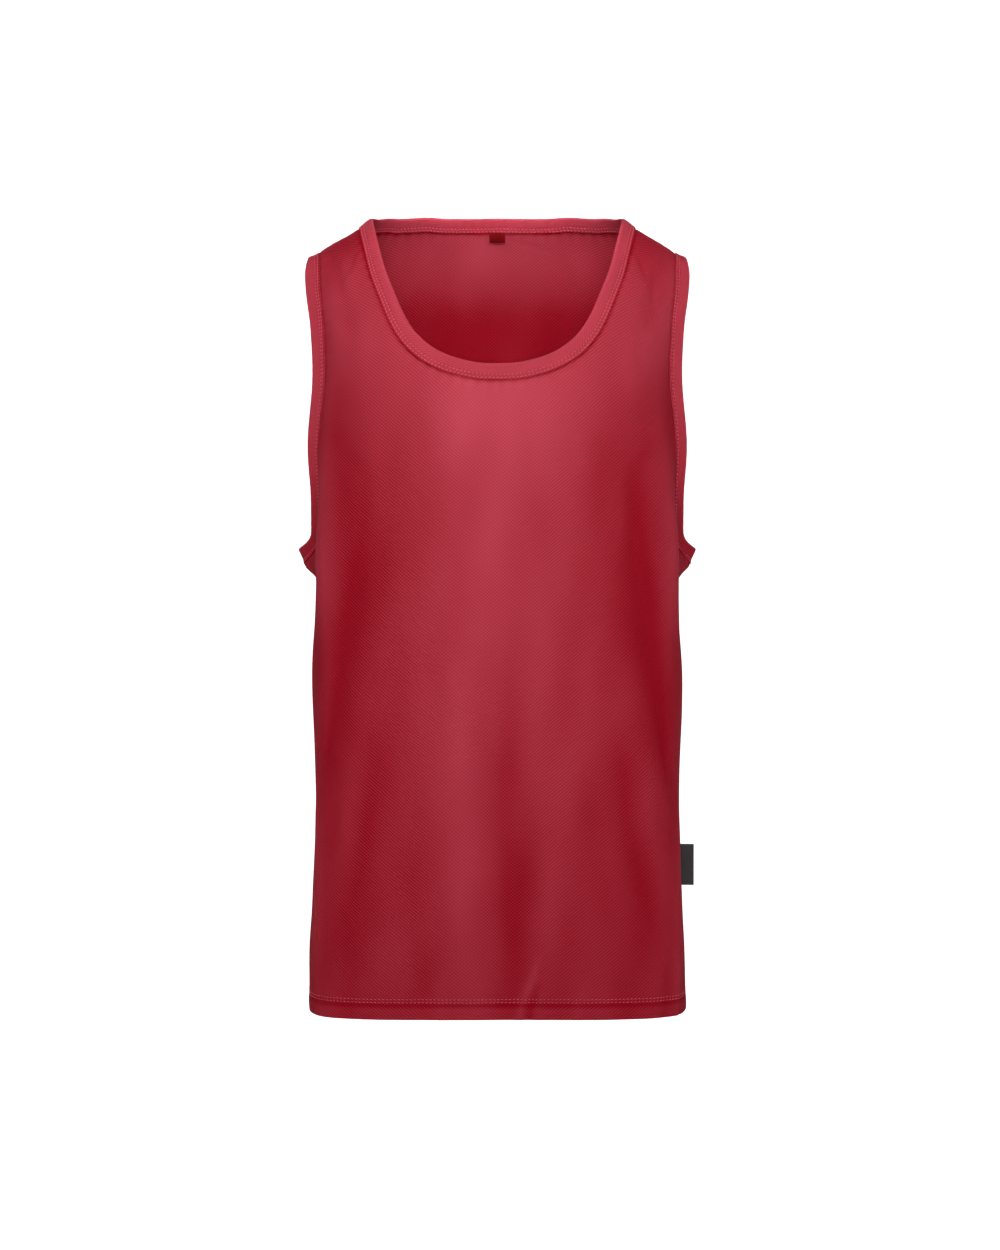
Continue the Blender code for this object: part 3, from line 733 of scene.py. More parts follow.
def tone_of(side, across, height, point, painted_seam_shade):
    """The cloth's painted light and shade outside and inside: darker in a fold and lighter on a ridge, and darker
    beside a seam, below the hem's stitches and under the arm.
    """
    # Painted shade in the folds and creases and painted light on their ridges; inside the cloth, the other way
    # round.
    relief = fold_relief(side, across, height) + crease_relief(side, across, height, SHARP_CREASE_SHADE)
    relief = relief + 1.5 * wave_relief(side, across, height)
    folds = FOLD_SHADE * np.clip(relief / (4 * MM), -1.0, 1.0)
    up = height - HEM_Z
    to_side = side_across(side, height) - np.abs(across)
    # A painted shadow in a band just below the hem's stitches.
    painted_hem_shadow = np.exp(-(((up - 12.4 * MM) / (1.9 * MM)) ** 2))
    # Painted shade under the arm, where the panel turns in below the armhole.
    painted_underarm_shade = np.exp(-(((height - ARMHOLE_BOTTOM + 0.014) / 0.020) ** 2) - (to_side / 0.020) ** 2)
    outside = painted_light_outside(point) + folds + painted_seam_shade - 0.27 * painted_hem_shadow - 0.30 * painted_underarm_shade
    inside = painted_light_inside(point) - 0.7 * folds + painted_seam_shade
    return outside, inside


def cloth_point(side, across, height):
    """The shell's outer points with every crease, the directions out of it, and the shade painted beside its seams.
    """
    point, normal = surface(side, across, height)
    drawn, painted_seam_shade = seam_effect(side, point)
    relief = crease_relief(side, across, height) + wave_relief(side, across, height)
    relief += drawn + hem_relief(across, height)
    point = point + normal * relief[:, None]
    point[:, 2] -= HEM_DROP * np.exp(-(height - HEM_Z) / HEM_DEPTH)
    return point, normal, painted_seam_shade


# ---------------------------------------------------------------- building meshes


def make_piece(name, points, faces, material, cloth=None, closed=True):
    """A smooth mesh that rides on the part's one body. `cloth` holds each point's place along the cloth."""
    mesh = bpy.data.meshes.new(name)
    mesh.from_pydata(np.asarray(points).tolist(), [], faces)
    if closed:
        shape = bmesh.new()
        shape.from_mesh(mesh)
        bmesh.ops.recalc_face_normals(shape, faces=shape.faces)
        shape.to_mesh(mesh)
        shape.free()
    mesh.shade_smooth()
    if cloth is not None:
        places = np.zeros((len(points), 3), np.float32)
        places[:, : cloth.shape[1]] = cloth
        layer = mesh.attributes.new("cloth", "FLOAT_VECTOR", "POINT")
        layer.data.foreach_set("vector", places.ravel())
    mesh.materials.append(material)
    piece = bpy.data.objects.new(name, mesh)
    bpy.context.scene.collection.objects.link(piece)
    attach(piece, "root")
    return piece


def add_values(piece, name, values):
    """One number for each of a mesh's points, which its material reads by name."""
    layer = piece.data.attributes.new(name, "FLOAT", "POINT")
    layer.data.foreach_set("value", np.ravel(values).astype(np.float32))


def rim_faces(quads, count):
    """The faces that join an outer and an inner skin round their open edges."""
    edges = {(quad[i], quad[(i + 1) % 4]) for quad in quads for i in range(4)}
    return [(b, a, a + count, b + count) for a, b in sorted(edges) if (b, a) not in edges]


RISE_SHARE = 0.6  # how far the knit's rows keep level over the shoulders


def make_panel(name, side, material):
    places, quads = panel_places(side)
    across, height = places.T
    outer, normal, painted_seam_shade = cloth_point(side, across, height)
    up = height - HEM_Z
    rounding = np.clip(HEM_ROUNDING - up, 0.0, HEM_ROUNDING)
    rounding = HEM_ROUNDING - np.sqrt(HEM_ROUNDING**2 - rounding**2)
    wall = np.where(up < HEM_DEPTH + 0.2 * MM, HEM_CLOTH, CLOTH)
    inner = outer - normal * (wall - rounding)[:, None]
    outer = outer - normal * rounding[:, None]
    count = len(outer)
    faces = list(quads) + [tuple(corner + count for corner in reversed(quad)) for quad in quads]
    faces += rim_faces(quads, count)
    points = np.concatenate([outer, inner])
    up_cloth = height * (1 - RISE_SHARE) + outer[:, 2] * RISE_SHARE
    cloth = np.tile(np.stack([across, up_cloth], axis=-1), (2, 1))
    piece = make_piece(name, points, faces, material, cloth)
    # the painted light and shade that the knit's colour reads
    add_values(piece, "tone", tone_of(side, across, height, outer, painted_seam_shade))
    return piece


def make_tube(name, rings, cloth, material, closed):
    """A mesh over rings of points, joined end to end where `closed`, and capped otherwise."""
    stations, around = rings.shape[:2]
    faces = []
    for i in range(stations if closed else stations - 1):
        here = i * around
        after = (i + 1) % stations * around
        faces += [(here + k, after + k, after + (k + 1) % around, here + (k + 1) % around) for k in range(around)]
    if not closed:
        faces += [tuple(range(around)), tuple(reversed(range((stations - 1) * around, stations * around)))]
    return make_piece(name, rings.reshape(-1, 3), faces, material, cloth.reshape(-1, cloth.shape[-1]))


BESIDE_STITCHES = 0.36  # the share of a strip's width that keeps its full width
EVENED_STATIONS = 9


def evened(rows, reach):
    """Each row of a closed run, averaged with its neighbours up to a reach."""
    return sum(np.roll(rows, shift, axis=0) for shift in range(-reach, reach + 1)) / (2 * reach + 1)


class Strip:
    """A binding's middle line and facing at each station along its seam and each distance over its width."""

    def __init__(self, seam, width, middle, wanted_at, narrowed_at=None, steps=14):
        self.stations, self.length = resample(seam, spacing=0.9 * MM, closed=True)
        point = self.stations[:, :3]
        normal = unit(self.stations[:, 3:])
        along = unit(np.roll(point, -1, axis=0) - np.roll(point, 1, axis=0))
        off = unit(np.cross(normal, along))
        off *= np.sign(((middle - point) * off).sum(-1, keepdims=True))
        wanted = wanted_at(point, off)
        self.width = width
        self.spans = np.concatenate([[-OVERLAP - 1 * MM, 0.0], np.linspace(0, width, steps + 1)[1:]])
        inset = np.zeros(len(point)) if narrowed_at is None else narrowed_at(point)
        core = point - normal * CAD_WALL / 2 + off * SEAM_GAP
        cores = [core - off * (OVERLAP + 1 * MM), core]
        facings = [normal, normal]
        for step in range(steps):
            share = min((step + 0.5) / steps + 1 / 6, 1.0)
            direction = off * (1 - share) + wanted * share
            direction = unit(direction - along * (direction * along).sum(-1, keepdims=True))
            beyond_stitches = (step + 0.5) / steps > BESIDE_STITCHES
            slack = inset / (1 - BESIDE_STITCHES) / steps * beyond_stitches
            core = core + direction * (width / steps - slack)[:, None]
            facing = np.cross(direction, along)
            facing *= np.sign((facing * normal).sum(-1, keepdims=True))
            cores.append(core)
            facings.append(facing)
        self.cores = np.stack(cores, axis=1)
        self.facings = np.stack(facings, axis=1)
        for step in range(steps):
            share = max((step + 1) / steps - BESIDE_STITCHES, 0)
            reach = round(EVENED_STATIONS * share / (1 - BESIDE_STITCHES))
            self.cores[:, step + 2] = evened(self.cores[:, step + 2], reach)
            self.facings[:, step + 2] = unit(evened(self.facings[:, step + 2], reach))
        self.along = np.arange(len(point)) * self.length / len(point)

    def at(self, over):
        """The middle line and the facing, a given distance over the strip's width."""
        i = min(max(int(np.searchsorted(self.spans, over)) - 1, 0), len(self.spans) - 2)
        t = (over - self.spans[i]) / (self.spans[i + 1] - self.spans[i])
        core = self.cores[:, i] * (1 - t) + self.cores[:, i + 1] * t
        facing = unit(self.facings[:, i] * (1 - t) + self.facings[:, i + 1] * t)
        return core, facing


# A binding's outer half section from its sewn edge to its free edge: over its width, and out of it
SEWN = ((-1.30, 0.10), (-1.30, 0.62), (-1.15, 1.08), (-0.70, 1.34), (-0.10, 1.36))
PUFF = (
    (0.20, 1.30), (0.55, 1.12), (0.95, 1.28), (1.9, 1.42), (2.9, 1.34),
    (3.45, 1.12), (4.1, 1.34), (5.4, 1.58), (7.6, 1.70),
)
FREE = ((-3.6, 1.66), (-1.9, 1.52), (-0.95, 1.22), (-0.35, 0.78), (-0.06, 0.34))
STITCH_ROWS = (0.55 * MM, 3.45 * MM)


def binding_section(width):
    """Points round a binding: out over its face, round its free edge, and back inside it."""
    over_width = width / MM
    outer = list(SEWN) + list(PUFF) + [(over_width + a, t) for a, t in FREE]
    outer = [(a * MM, t * MM) for a, t in outer]
    inner = [(a, -t * 0.86) for a, t in reversed(outer)]
    return outer + [(width, 0.0)] + inner


def make_binding(name, strip, own_tone, material):
    """A folded strip, fuller between its stitches and its free edge, and pinched at each needle hole."""
    section = binding_section(strip.width)
    along = strip.along
    turns = 2 * math.pi / strip.length
    fullness = 1 + 0.05 * np.sin(9 * turns * along) + 0.04 * np.sin(23 * turns * along + 1.3) + 0.03 * np.sin(41 * turns * along + 4)
    pinch = 0.5 + 0.5 * np.cos(2 * math.pi * along / (strip.length / round(strip.length / STITCH_PITCH)))
    drag = np.sin(2 * math.pi * along / (strip.length / round(strip.length / (9.5 * MM))) + 1.6 * np.sin(7 * turns * along))
    rings = np.empty((len(along), len(section), 3))
    cloth = np.empty((len(along), len(section), 2))
    tone = np.empty((len(along), len(section)))
    for k, (over, thick) in enumerate(section):
        core, facing = strip.at(over)
        sewn = sum(math.exp(-(((over - row) / (0.75 * MM)) ** 2)) for row in STITCH_ROWS)
        full = min(max(over / (4 * MM), 0.0), 1.0)
        height = thick * (1 + (fullness - 1) * full)
        height = height - np.sign(thick) * (0.16 * MM * pinch * sewn - 0.07 * MM * drag * full)
        rings[:, k] = core + facing * height[:, None]
        cloth[:, k, 0] = along
        cloth[:, k, 1] = over if thick >= 0 else 2 * strip.width - over
        # Painted light and shade in the binding's colour: a painted highlight along its folded free edge, painted
        # shade in the pinches at its stitches, and painted shade on the side wall past its sewn edge.
        painted_edge_highlight = math.exp(-(((strip.width - over) / (1.4 * MM)) ** 2))
        tone[:, k] = own_tone + 0.20 * painted_edge_highlight - 0.18 * sewn * (0.5 + 0.5 * pinch) - (0.24 if over < -OVERLAP / 2 else 0.0)
    piece = make_tube(name, rings, cloth, material, True)
    add_values(piece, "tone", tone)
    return piece


STITCH_SHARES = np.array([0.0, 0.16, 0.5, 0.84, 1.0])
STITCH_LIFTS = MM * np.array([-0.28, 0.02, 0.12, 0.02, -0.28])
STITCH_SIDES = 6
THREAD = 0.34 * MM


def stitch_run(line, closed, length_share=0.66, radius=THREAD, zigzag=0.0):
    """Points and faces of a row of stitches along a line of points with normals."""
    line = np.asarray(line)
    even, length = resample(line, spacing=0.5 * MM, closed=closed)
    if closed:
        even = np.concatenate([even, even[:1]])
    at = np.linspace(0, length, len(even))
    count = max(int(round(length / STITCH_PITCH)), 1)
    pitch = length / count
    start = (np.arange(count) + 0.5 * (1 - length_share)) * pitch
    where = start[:, None] + STITCH_SHARES[None] * pitch * length_share
    sample = np.stack([np.interp(where, at, column) for column in even.T], axis=-1)
    point = sample[..., :3]
    normal = unit(sample[..., 3:6])
    along = unit(point[:, -1:] - point[:, :1]) * np.ones_like(point)
    beside = unit(np.cross(along, normal))
    if zigzag:
        swing = (STITCH_SHARES * 2 - 1)[None, :, None] * np.where(np.arange(count) % 2, 1, -1)[:, None, None]
        point = point + beside * swing * zigzag
        along = unit(point[:, -1:] - point[:, :1]) * np.ones_like(point)
        beside = unit(np.cross(along, normal))
    point = point + normal * STITCH_LIFTS[None, :, None]
    turn = np.arange(STITCH_SIDES) * 2 * math.pi / STITCH_SIDES
    thick = radius * np.array([0.55, 0.95, 1.0, 0.95, 0.55])
    ring = beside[:, :, None] * np.cos(turn)[None, None, :, None]
    ring = ring + normal[:, :, None] * np.sin(turn)[None, None, :, None]
    points = (point[:, :, None] + ring * thick[None, :, None, None]).reshape(-1, 3)
    rings = len(STITCH_SHARES)
    faces = []
    for i in range(count):
        base = i * rings * STITCH_SIDES
        for r in range(rings - 1):
            low = base + r * STITCH_SIDES
            faces += [
                (low + k, low + (k + 1) % STITCH_SIDES, low + STITCH_SIDES + (k + 1) % STITCH_SIDES, low + STITCH_SIDES + k)
                for k in range(STITCH_SIDES)
            ]
        faces.append(tuple(base + k for k in reversed(range(STITCH_SIDES))))
        faces.append(tuple(base + (rings - 1) * STITCH_SIDES + k for k in range(STITCH_SIDES)))
    return points, faces


def make_stitches(name, runs, material):
    points = []
    faces = []
    total = 0
    for run_points, run_faces in runs:
        faces += [tuple(corner + total for corner in face) for face in run_faces]
        points.append(run_points)
        total += len(run_points)
    return make_piece(name, np.concatenate(points), faces, material)


def binding_stitches(name, strip, material):
    """Two rows of stitches on the binding's face, and the same two inside it."""
    runs = []
    for row in STITCH_ROWS:
        core, facing = strip.at(row)
        runs.append(stitch_run(np.concatenate([core + facing * 1.22 * MM, facing], axis=1), True))
        runs.append(stitch_run(np.concatenate([core - facing * 1.06 * MM, -facing], axis=1), True))
    return make_stitches(name, runs, material)


def hem_stitches(name, side, material):
    """Two rows of stitches outside the hem, and the thread that crosses between them inside it."""
    runs = []
    for up in HEM_STITCHES:
        height = HEM_Z + up
        end = float(side_across(side, height)) - 1.5 * MM
        across = np.linspace(-end, end, 700)
        point, normal, _ = cloth_point(side, across, np.full_like(across, height))
        runs.append(stitch_run(np.concatenate([point + normal * 0.12 * MM, normal], axis=1), False))
    height = HEM_Z + sum(HEM_STITCHES) / 2
    across = np.linspace(-end, end, 700)
    point, normal, _ = cloth_point(side, across, np.full_like(across, height))
    inside = point - normal * (HEM_CLOTH + 0.1 * MM)
    runs.append(stitch_run(np.concatenate([inside, -normal], axis=1), False, 0.98, THREAD, 1.35 * MM))
    return make_stitches(name, runs, material)


# ---------------------------------------------------------------- materials


class Nodes:
    """Short names for the nodes that the materials are built from."""

    def __init__(self, name):
        self.material = bpy.data.materials.new(name)
        self.material.use_nodes = True
        self.tree = self.material.node_tree
        self.shader = self.tree.nodes["Principled BSDF"]

    def put(self, socket, value):
        if isinstance(value, bpy.types.NodeSocket):
            self.tree.links.new(value, socket)
        else:
            socket.default_value = value

    def math(self, operation, a, b=0.0, c=0.0):
        node = self.tree.nodes.new("ShaderNodeMath")
        node.operation = operation
        for socket, value in zip(node.inputs, (a, b, c)):
            self.put(socket, value)
        return node.outputs[0]

    def cloth(self):
        """Place along the cloth, in metres: across and up."""
        node = self.tree.nodes.new("ShaderNodeAttribute")
        node.attribute_name = "cloth"
        split = self.tree.nodes.new("ShaderNodeSeparateXYZ")
        self.put(split.inputs[0], node.outputs["Vector"])
        return node.outputs["Vector"], split.outputs[0], split.outputs[1]

    def place(self):
        return self.tree.nodes.new("ShaderNodeTexCoord").outputs["Object"]

    def noise(self, where, scale, detail=2.0, roughness=0.5):
        node = self.tree.nodes.new("ShaderNodeTexNoise")
        self.put(node.inputs["Vector"], where)
        node.inputs["Scale"].default_value = scale
        node.inputs["Detail"].default_value = detail
        node.inputs["Roughness"].default_value = roughness
        return node.outputs["Fac"]

    def spread(self, value, low, high, to_low, to_high):
        node = self.tree.nodes.new("ShaderNodeMapRange")
        self.put(node.inputs["Value"], value)
        for name, number in (("From Min", low), ("From Max", high), ("To Min", to_low), ("To Max", to_high)):
            node.inputs[name].default_value = number
        return node.outputs[0]

    def mix(self, share, a, b):
        node = self.tree.nodes.new("ShaderNodeMix")
        node.data_type = "RGBA"
        self.put(node.inputs["Factor"], share)
        self.put(node.inputs[6], a)
        self.put(node.inputs[7], b)
        return node.outputs[2]

    def lines(self, u, v, angle, pitch, wander):
        """0 to 1 in lines at an angle from level, a pitch apart."""
        a = self.math("MULTIPLY", v, math.cos(angle) * 2 * math.pi / pitch)
        b = self.math("MULTIPLY", u, -math.sin(angle) * 2 * math.pi / pitch)
        phase = self.math("ADD", self.math("ADD", a, b), wander)
        return self.math("MULTIPLY_ADD", self.math("COSINE", phase), 0.5, 0.5)

    def finish(self, colour, roughness, height, strength, distance, sheen, specular):
        self.put(self.shader.inputs["Base Color"], colour)
        self.put(self.shader.inputs["Roughness"], roughness)
        bump = self.tree.nodes.new("ShaderNodeBump")
        bump.inputs["Strength"].default_value = strength
        bump.inputs["Distance"].default_value = distance
        self.put(bump.inputs["Height"], height)
        self.put(self.shader.inputs["Normal"], bump.outputs[0])
        self.shader.inputs["Sheen Weight"].default_value = sheen
        self.shader.inputs["Sheen Roughness"].default_value = 0.45
        self.shader.inputs["Sheen Tint"].default_value = (1.0, 0.62, 0.66, 1.0)
        self.shader.inputs["Specular IOR Level"].default_value = specular
        return self.material


def shade(colour, factor):
    return (colour[0] * factor, colour[1] * factor, colour[2] * factor, 1.0)


# The knit's two reds: DEEP_RED for the cloth in painted shade, and PALE_RED for the cloth in painted light, with
# the pinkish veil of a painted sheen.
DEEP_RED = (0.27, 0.0006, 0.0085)
PALE_RED = (0.54, 0.0640, 0.0950)


def knit(name, contrast, depth):
    """Micro-mesh: fine lines that slant both ways over its dimples, with the yarn's own unevenness, over the
    painted light and shade of its points.
    """
    n = Nodes(name)
    cloth, u, v = n.cloth()
    wander = n.spread(n.noise(cloth, 55.0, 3.0), 0.3, 0.7, -0.9, 0.9)
    rising = n.lines(u, v, math.radians(39.5), 2.21 * MM, wander)
    falling = n.lines(u, v, math.radians(-39.5), 2.21 * MM, wander)
    to_right = n.spread(n.math("MULTIPLY_ADD", n.noise(cloth, 14.0), 0.06, u), -0.02, 0.08, 0.12, 0.88)
    dimple = n.math("ADD", falling, n.math("MULTIPLY", to_right, n.math("SUBTRACT", rising, falling)))
    wale = n.lines(u, v, math.radians(90), 0.9 * MM, wander)
    yarn = n.noise(cloth, 1400.0, 2.0)
    grain = n.math("MULTIPLY_ADD", yarn, 0.35, n.math("MULTIPLY_ADD", wale, 0.12, dimple))
    dye = n.noise(cloth, 9.0, 3.0)
    uneven = n.math("MULTIPLY_ADD", dye, 0.10, n.math("MULTIPLY_ADD", yarn, 0.20, -0.15))
    lined = n.math("MULTIPLY_ADD", dimple, contrast, -0.5 * contrast)
    # The painted light and shade of each point, with the dye's unevenness and the mesh's lines, sets how far the
    # colour lies from the deep red to the pale.
    painted = n.tree.nodes.new("ShaderNodeAttribute")
    painted.attribute_name = "tone"
    tone = n.math("ADD", painted.outputs["Fac"], n.math("ADD", uneven, lined))
    base = n.mix(tone, shade(DEEP_RED, 1.0), shade(PALE_RED, 1.0))
    roughness = n.spread(dimple, 0.0, 1.0, 0.62, 0.54)
    return n.finish(base, roughness, grain, 0.55, depth, 0.0, 0.04)


def thread(name, colour):
    n = Nodes(name)
    place = n.place()
    ply = n.noise(place, 2600.0, 2.0)
    base = n.mix(ply, shade(colour, 0.85), shade(colour, 1.25))
    return n.finish(base, 0.48, ply, 0.5, 0.10 * MM, 0.0, 0.4)


def woven(name, colour, rib, light):
    """A narrow woven label: ribs across it and a lighter border along its edges."""
    n = Nodes(name)
    cloth, u, v = n.cloth()
    wander = n.spread(n.noise(cloth, 300.0), 0.3, 0.7, -0.5, 0.5)
    ribs = n.lines(u, v, 0.0, rib, wander)
    warp = n.lines(u, v, math.radians(90), rib * 0.8, wander)
    weave = n.math("MULTIPLY_ADD", warp, 0.4, ribs)
    node = n.tree.nodes.new("ShaderNodeAttribute")
    node.attribute_name = "border"
    base = n.mix(n.math("MULTIPLY", weave, 0.6), shade(colour, 0.75), shade(colour, 1.35))
    base = n.mix(node.outputs["Fac"], base, shade(light, 1.0))
    return n.finish(base, 0.55, weave, 0.5, 0.12 * MM, 0.0, 0.08)


JERSEY = knit("red_micro_mesh", 0.36, 0.30 * MM)
BINDING = knit("red_binding_knit", 0.22, 0.18 * MM)
THREAD_RED = thread("red_thread", (0.62, 0.080, 0.112))
# On the size label the lighter border is a painted highlight along the loop's edges.
SIZE_TAG = woven("dark_red_woven", (0.170, 0.0025, 0.0050), 0.45 * MM, (0.21, 0.0045, 0.0080))
SIDE_TAG = woven("charcoal_woven", (0.062, 0.062, 0.066), 0.60 * MM, (0.12, 0.12, 0.125))


# ---------------------------------------------------------------- the pieces

front = make_panel("front_cloth", FRONT, JERSEY)
back = make_panel("back_cloth", BACK, JERSEY)
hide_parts("front")
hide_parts("back")

neck_seam = np.concatenate([NECK_LINES[FRONT], NECK_LINES[BACK][-2:0:-1]])
ends = (0, len(NECK_LINES[FRONT]) - 1)
neck_seam[list(ends), 1] = 0.0
neck_strip = Strip(neck_seam, NECK_BINDING_WIDTH, NECK_MIDDLE, lambda point, off: off)
neck = make_binding("neck_binding_strip", neck_strip, NECK_BINDING_TONE, BINDING)
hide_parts("neck_binding")
neck_sewing = binding_stitches("neck_stitches", neck_strip, THREAD_RED)

SHOULDER_ROUNDING = 18.0 * MM
SHOULDER_INSET = 4.5 * MM
for name, hand in (("left", 1), ("right", -1)):
    seam = np.concatenate([ARMHOLE_LINES[FRONT, hand], ARMHOLE_LINES[BACK, hand][-2:0:-1]])
    shoulder = len(ARMHOLE_LINES[FRONT, hand]) - 1
    seam[[0, shoulder], 1] = 0.0
    seam[[0, shoulder], 4] = 0.0
    low, high = seam[0, 2], seam[shoulder, 2]
    middle_z = (low + high) / 2
    half_height = (high - low) / 2
    half_reach = ARMHOLE_SHARE * float(DEPTH[FRONT](ARMHOLE_WIDEST))

    def turned(point, off, hand=hand, middle_z=middle_z, half_height=half_height, half_reach=half_reach):
        """The direction of the binding's free edge: into the opening and out from the body."""
        level = (point[:, 2] - middle_z) / half_height
        close = np.abs(level) ** 3
        end_share = np.where(level > 0, INTO_OPENING_SHOULDER, INTO_OPENING_BOTTOM)
        share = (INTO_OPENING_SIDES * (1 - close) + end_share * close)[:, None]
        into = unit(np.stack([np.zeros(len(level)), -point[:, 1] / half_reach, -level], axis=-1))
        return into * share + np.array([hand, 0.0, 0.0]) * np.sqrt(1 - share**2)

    def narrowed(point, high=high):
        """How much the free edge draws in where the binding turns over the shoulder."""
        near_top = np.clip((point[:, 2] - (high - SHOULDER_ROUNDING)) / SHOULDER_ROUNDING, 0, 1)
        return SHOULDER_INSET * near_top**1.7

    strip = Strip(seam, ARMHOLE_BINDING_WIDTH, np.array([seam[0, 0], 0.0, middle_z]), turned, narrowed)
    own_tone = armhole_binding_shading(strip.stations[:, :3])[: len(strip.along)]
    piece = make_binding(f"armhole_binding_{name}_strip", strip, own_tone, BINDING)
    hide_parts(f"armhole_binding_{name}")
    binding_stitches(f"armhole_{name}_stitches", strip, THREAD_RED)

front_hem = hem_stitches("front_hem_stitches", FRONT, THREAD_RED)
back_hem = hem_stitches("back_hem_stitches", BACK, THREAD_RED)


def seam_allowance(name, lines, hand, fold, material):
    """The overlocked edges inside a seam, pressed to one side as a narrow flat ridge."""
    line = resample(lines[fold, hand], spacing=2.0 * MM)[0]
    point = line[:, :3]
    normal = unit(line[:, 3:])
    along = unit(np.gradient(point, axis=0))
    off = unit(np.cross(normal, along))
    off *= np.sign(off[:, 1:2] * fold)
    section = (
        (-0.8, 0.9), (-1.0, 1.5), (-0.6, 2.2), (1.0, 2.5), (3.5, 2.4),
        (5.4, 2.2), (6.0, 1.8), (5.8, 1.2), (3.0, 0.9),
    )
    count = len(point)
    ripple = 1 + 0.10 * np.sin(np.arange(count) * 2.2) + 0.06 * np.sin(np.arange(count) * 0.37)
    rings = np.empty((count, len(section), 3))
    cloth = np.empty((count, len(section), 2))
    for k, (over, deep) in enumerate(section):
        depth = 0.8 + (deep - 0.8) * ripple
        rings[:, k] = point + off * over * MM - normal * depth[:, None] * MM
        cloth[:, k, 0] = over * MM
        cloth[:, k, 1] = np.arange(count) * 2.0 * MM
    piece = make_tube(name, rings, cloth, material, False)
    add_values(piece, "tone", np.full(rings.shape[:2], 0.3))
    return piece


allowances = []
for name, hand in (("left", 1), ("right", -1)):
    allowances.append(seam_allowance(f"side_seam_{name}_inside", SIDE_LINES, hand, BACK, JERSEY))
    allowances.append(seam_allowance(f"shoulder_seam_{name}_inside", SHOULDER_LINES, hand, BACK, JERSEY))


def ribbon(name, centre_line, widths, beside, thickness, material, border):
    """A folded ribbon: a centre line of points, swept to both sides, with a thickness."""
    line = np.asarray(centre_line)
    along = unit(np.gradient(line, axis=0))
    facing = unit(np.cross(along, beside))
    lengths = np.concatenate([[0.0], np.cumsum(np.linalg.norm(np.diff(line, axis=0), axis=1))])
    columns = len(widths)
    points = np.concatenate(
        [
            (line[:, None] + beside[None, None] * widths[None, :, None] + facing[:, None] * half).reshape(-1, 3)
            for half in (thickness / 2, -thickness / 2)
        ]
    )
    rows = len(line)
    quads = [
        (r * columns + c, r * columns + c + 1, (r + 1) * columns + c + 1, (r + 1) * columns + c)
        for r in range(rows - 1)
        for c in range(columns - 1)
    ]
    count = rows * columns
    faces = quads + [tuple(corner + count for corner in reversed(quad)) for quad in quads] + rim_faces(quads, count)
    u = np.tile(widths, rows)
    v = np.repeat(lengths, columns)
    cloth = np.stack([np.tile(u, 2), np.tile(v, 2)], axis=-1)
    piece = make_piece(name, points, faces, material, cloth)
    near_edge = np.clip((np.abs(u) - (np.abs(widths).max() - border)) / (0.35 * MM), 0, 1)
    add_values(piece, "border", np.tile(near_edge, 2))
    return piece


# The size label: a loop of ribbon that hangs from the neck's seam inside the back
top = NECK_SEAM[BACK][0].height
hang = np.linspace(0.2 * MM, 11.6 * MM, 14)
spot, out = surface(BACK, np.zeros(len(hang)), top - hang)
down = np.linspace(0, 1, len(hang))
belly = 0.7 * MM * np.sin(math.pi * down) + 0.5 * MM * down
near_leaf = spot - out * (2.65 * MM + belly)[:, None]
far_leaf = spot - out * (1.75 * MM + 0.3 * belly)[:, None]
turn_centre = (near_leaf[-1] + far_leaf[-1]) / 2
turn_across = (far_leaf[-1] - near_leaf[-1]) / 2
turn_down = unit(spot[-1] - spot[-2]) * np.linalg.norm(turn_across)
turn_line = [turn_centre - turn_across * math.cos(a) + turn_down * math.sin(a) for a in np.linspace(0, math.pi, 9)[1:-1]]
loop = np.concatenate([near_leaf, turn_line, far_leaf[::-1]])
label_widths = np.linspace(-7.4 * MM, 7.4 * MM, 25)
size_label = ribbon(
    "size_label_loop", loop, label_widths, np.array([1.0, 0.0, 0.0]), 0.34 * MM, SIZE_TAG, 0.9 * MM,
)
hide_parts("size_label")

# The side label: a folded ribbon that stands out of the side seam, its fold outermost
label_z = (-0.613 + -0.576) / 2
seam_x = float(np.interp(label_z, SEAM_HEIGHTS, SIDE_LINES[FRONT, 1][:, 0]))
LABEL_OUT = 13.9 * MM
run = np.linspace(-2.2 * MM, LABEL_OUT, 18)
bend = -0.9 * MM * (np.clip(run, 0, None) / LABEL_OUT) ** 2
leaf = 0.38 * MM + 0.10 * MM * np.sin(np.linspace(0, math.pi, len(run)))
front_leaf = np.stack([seam_x + run, bend - leaf, np.full(len(run), label_z)], axis=-1)
back_leaf = np.stack([seam_x + run, bend + leaf, np.full(len(run), label_z)], axis=-1)
tip = [
    np.array([seam_x + run[-1] + 0.42 * MM * math.sin(a), bend[-1] - leaf[-1] * math.cos(a), label_z])
    for a in np.linspace(0, math.pi, 9)[1:-1]
]
flag = np.concatenate([front_leaf, tip, back_leaf[::-1]])
flag_widths = np.linspace(-19.0 * MM, 19.0 * MM, 61)
side_label = ribbon(
    "side_label_flag", flag, flag_widths, np.array([0.0, 0.0, 1.0]), 0.36 * MM, SIDE_TAG, 1.3 * MM,
)
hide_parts("side_label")


# ---------------------------------------------------------------- camera, lights and floor

camera = bpy.data.objects.new("camera", bpy.data.cameras.new("camera"))
bpy.context.scene.collection.objects.link(camera)
camera.data.sensor_width = 36.0
camera.data.lens = 84.52
camera.location = (0.0, -2.7, -0.314)
camera.rotation_euler = Vector((0.0025, 2.7, -0.0598)).to_track_quat("-Z", "Y").to_euler()
bpy.context.scene.camera = camera


def area_light(name, place, aim, size, power, spread, glossy=True):
    light = bpy.data.lights.new(name, "AREA")
    light.shape = "RECTANGLE"
    light.size, light.size_y = size
    light.energy = power
    light.spread = math.radians(spread)
    lamp = bpy.data.objects.new(name, light)
    lamp.location = place
    lamp.rotation_euler = (Vector(aim) - Vector(place)).to_track_quat("-Z", "Y").to_euler()
    lamp.visible_camera = False
    lamp.visible_glossy = glossy
    bpy.context.scene.collection.objects.link(lamp)


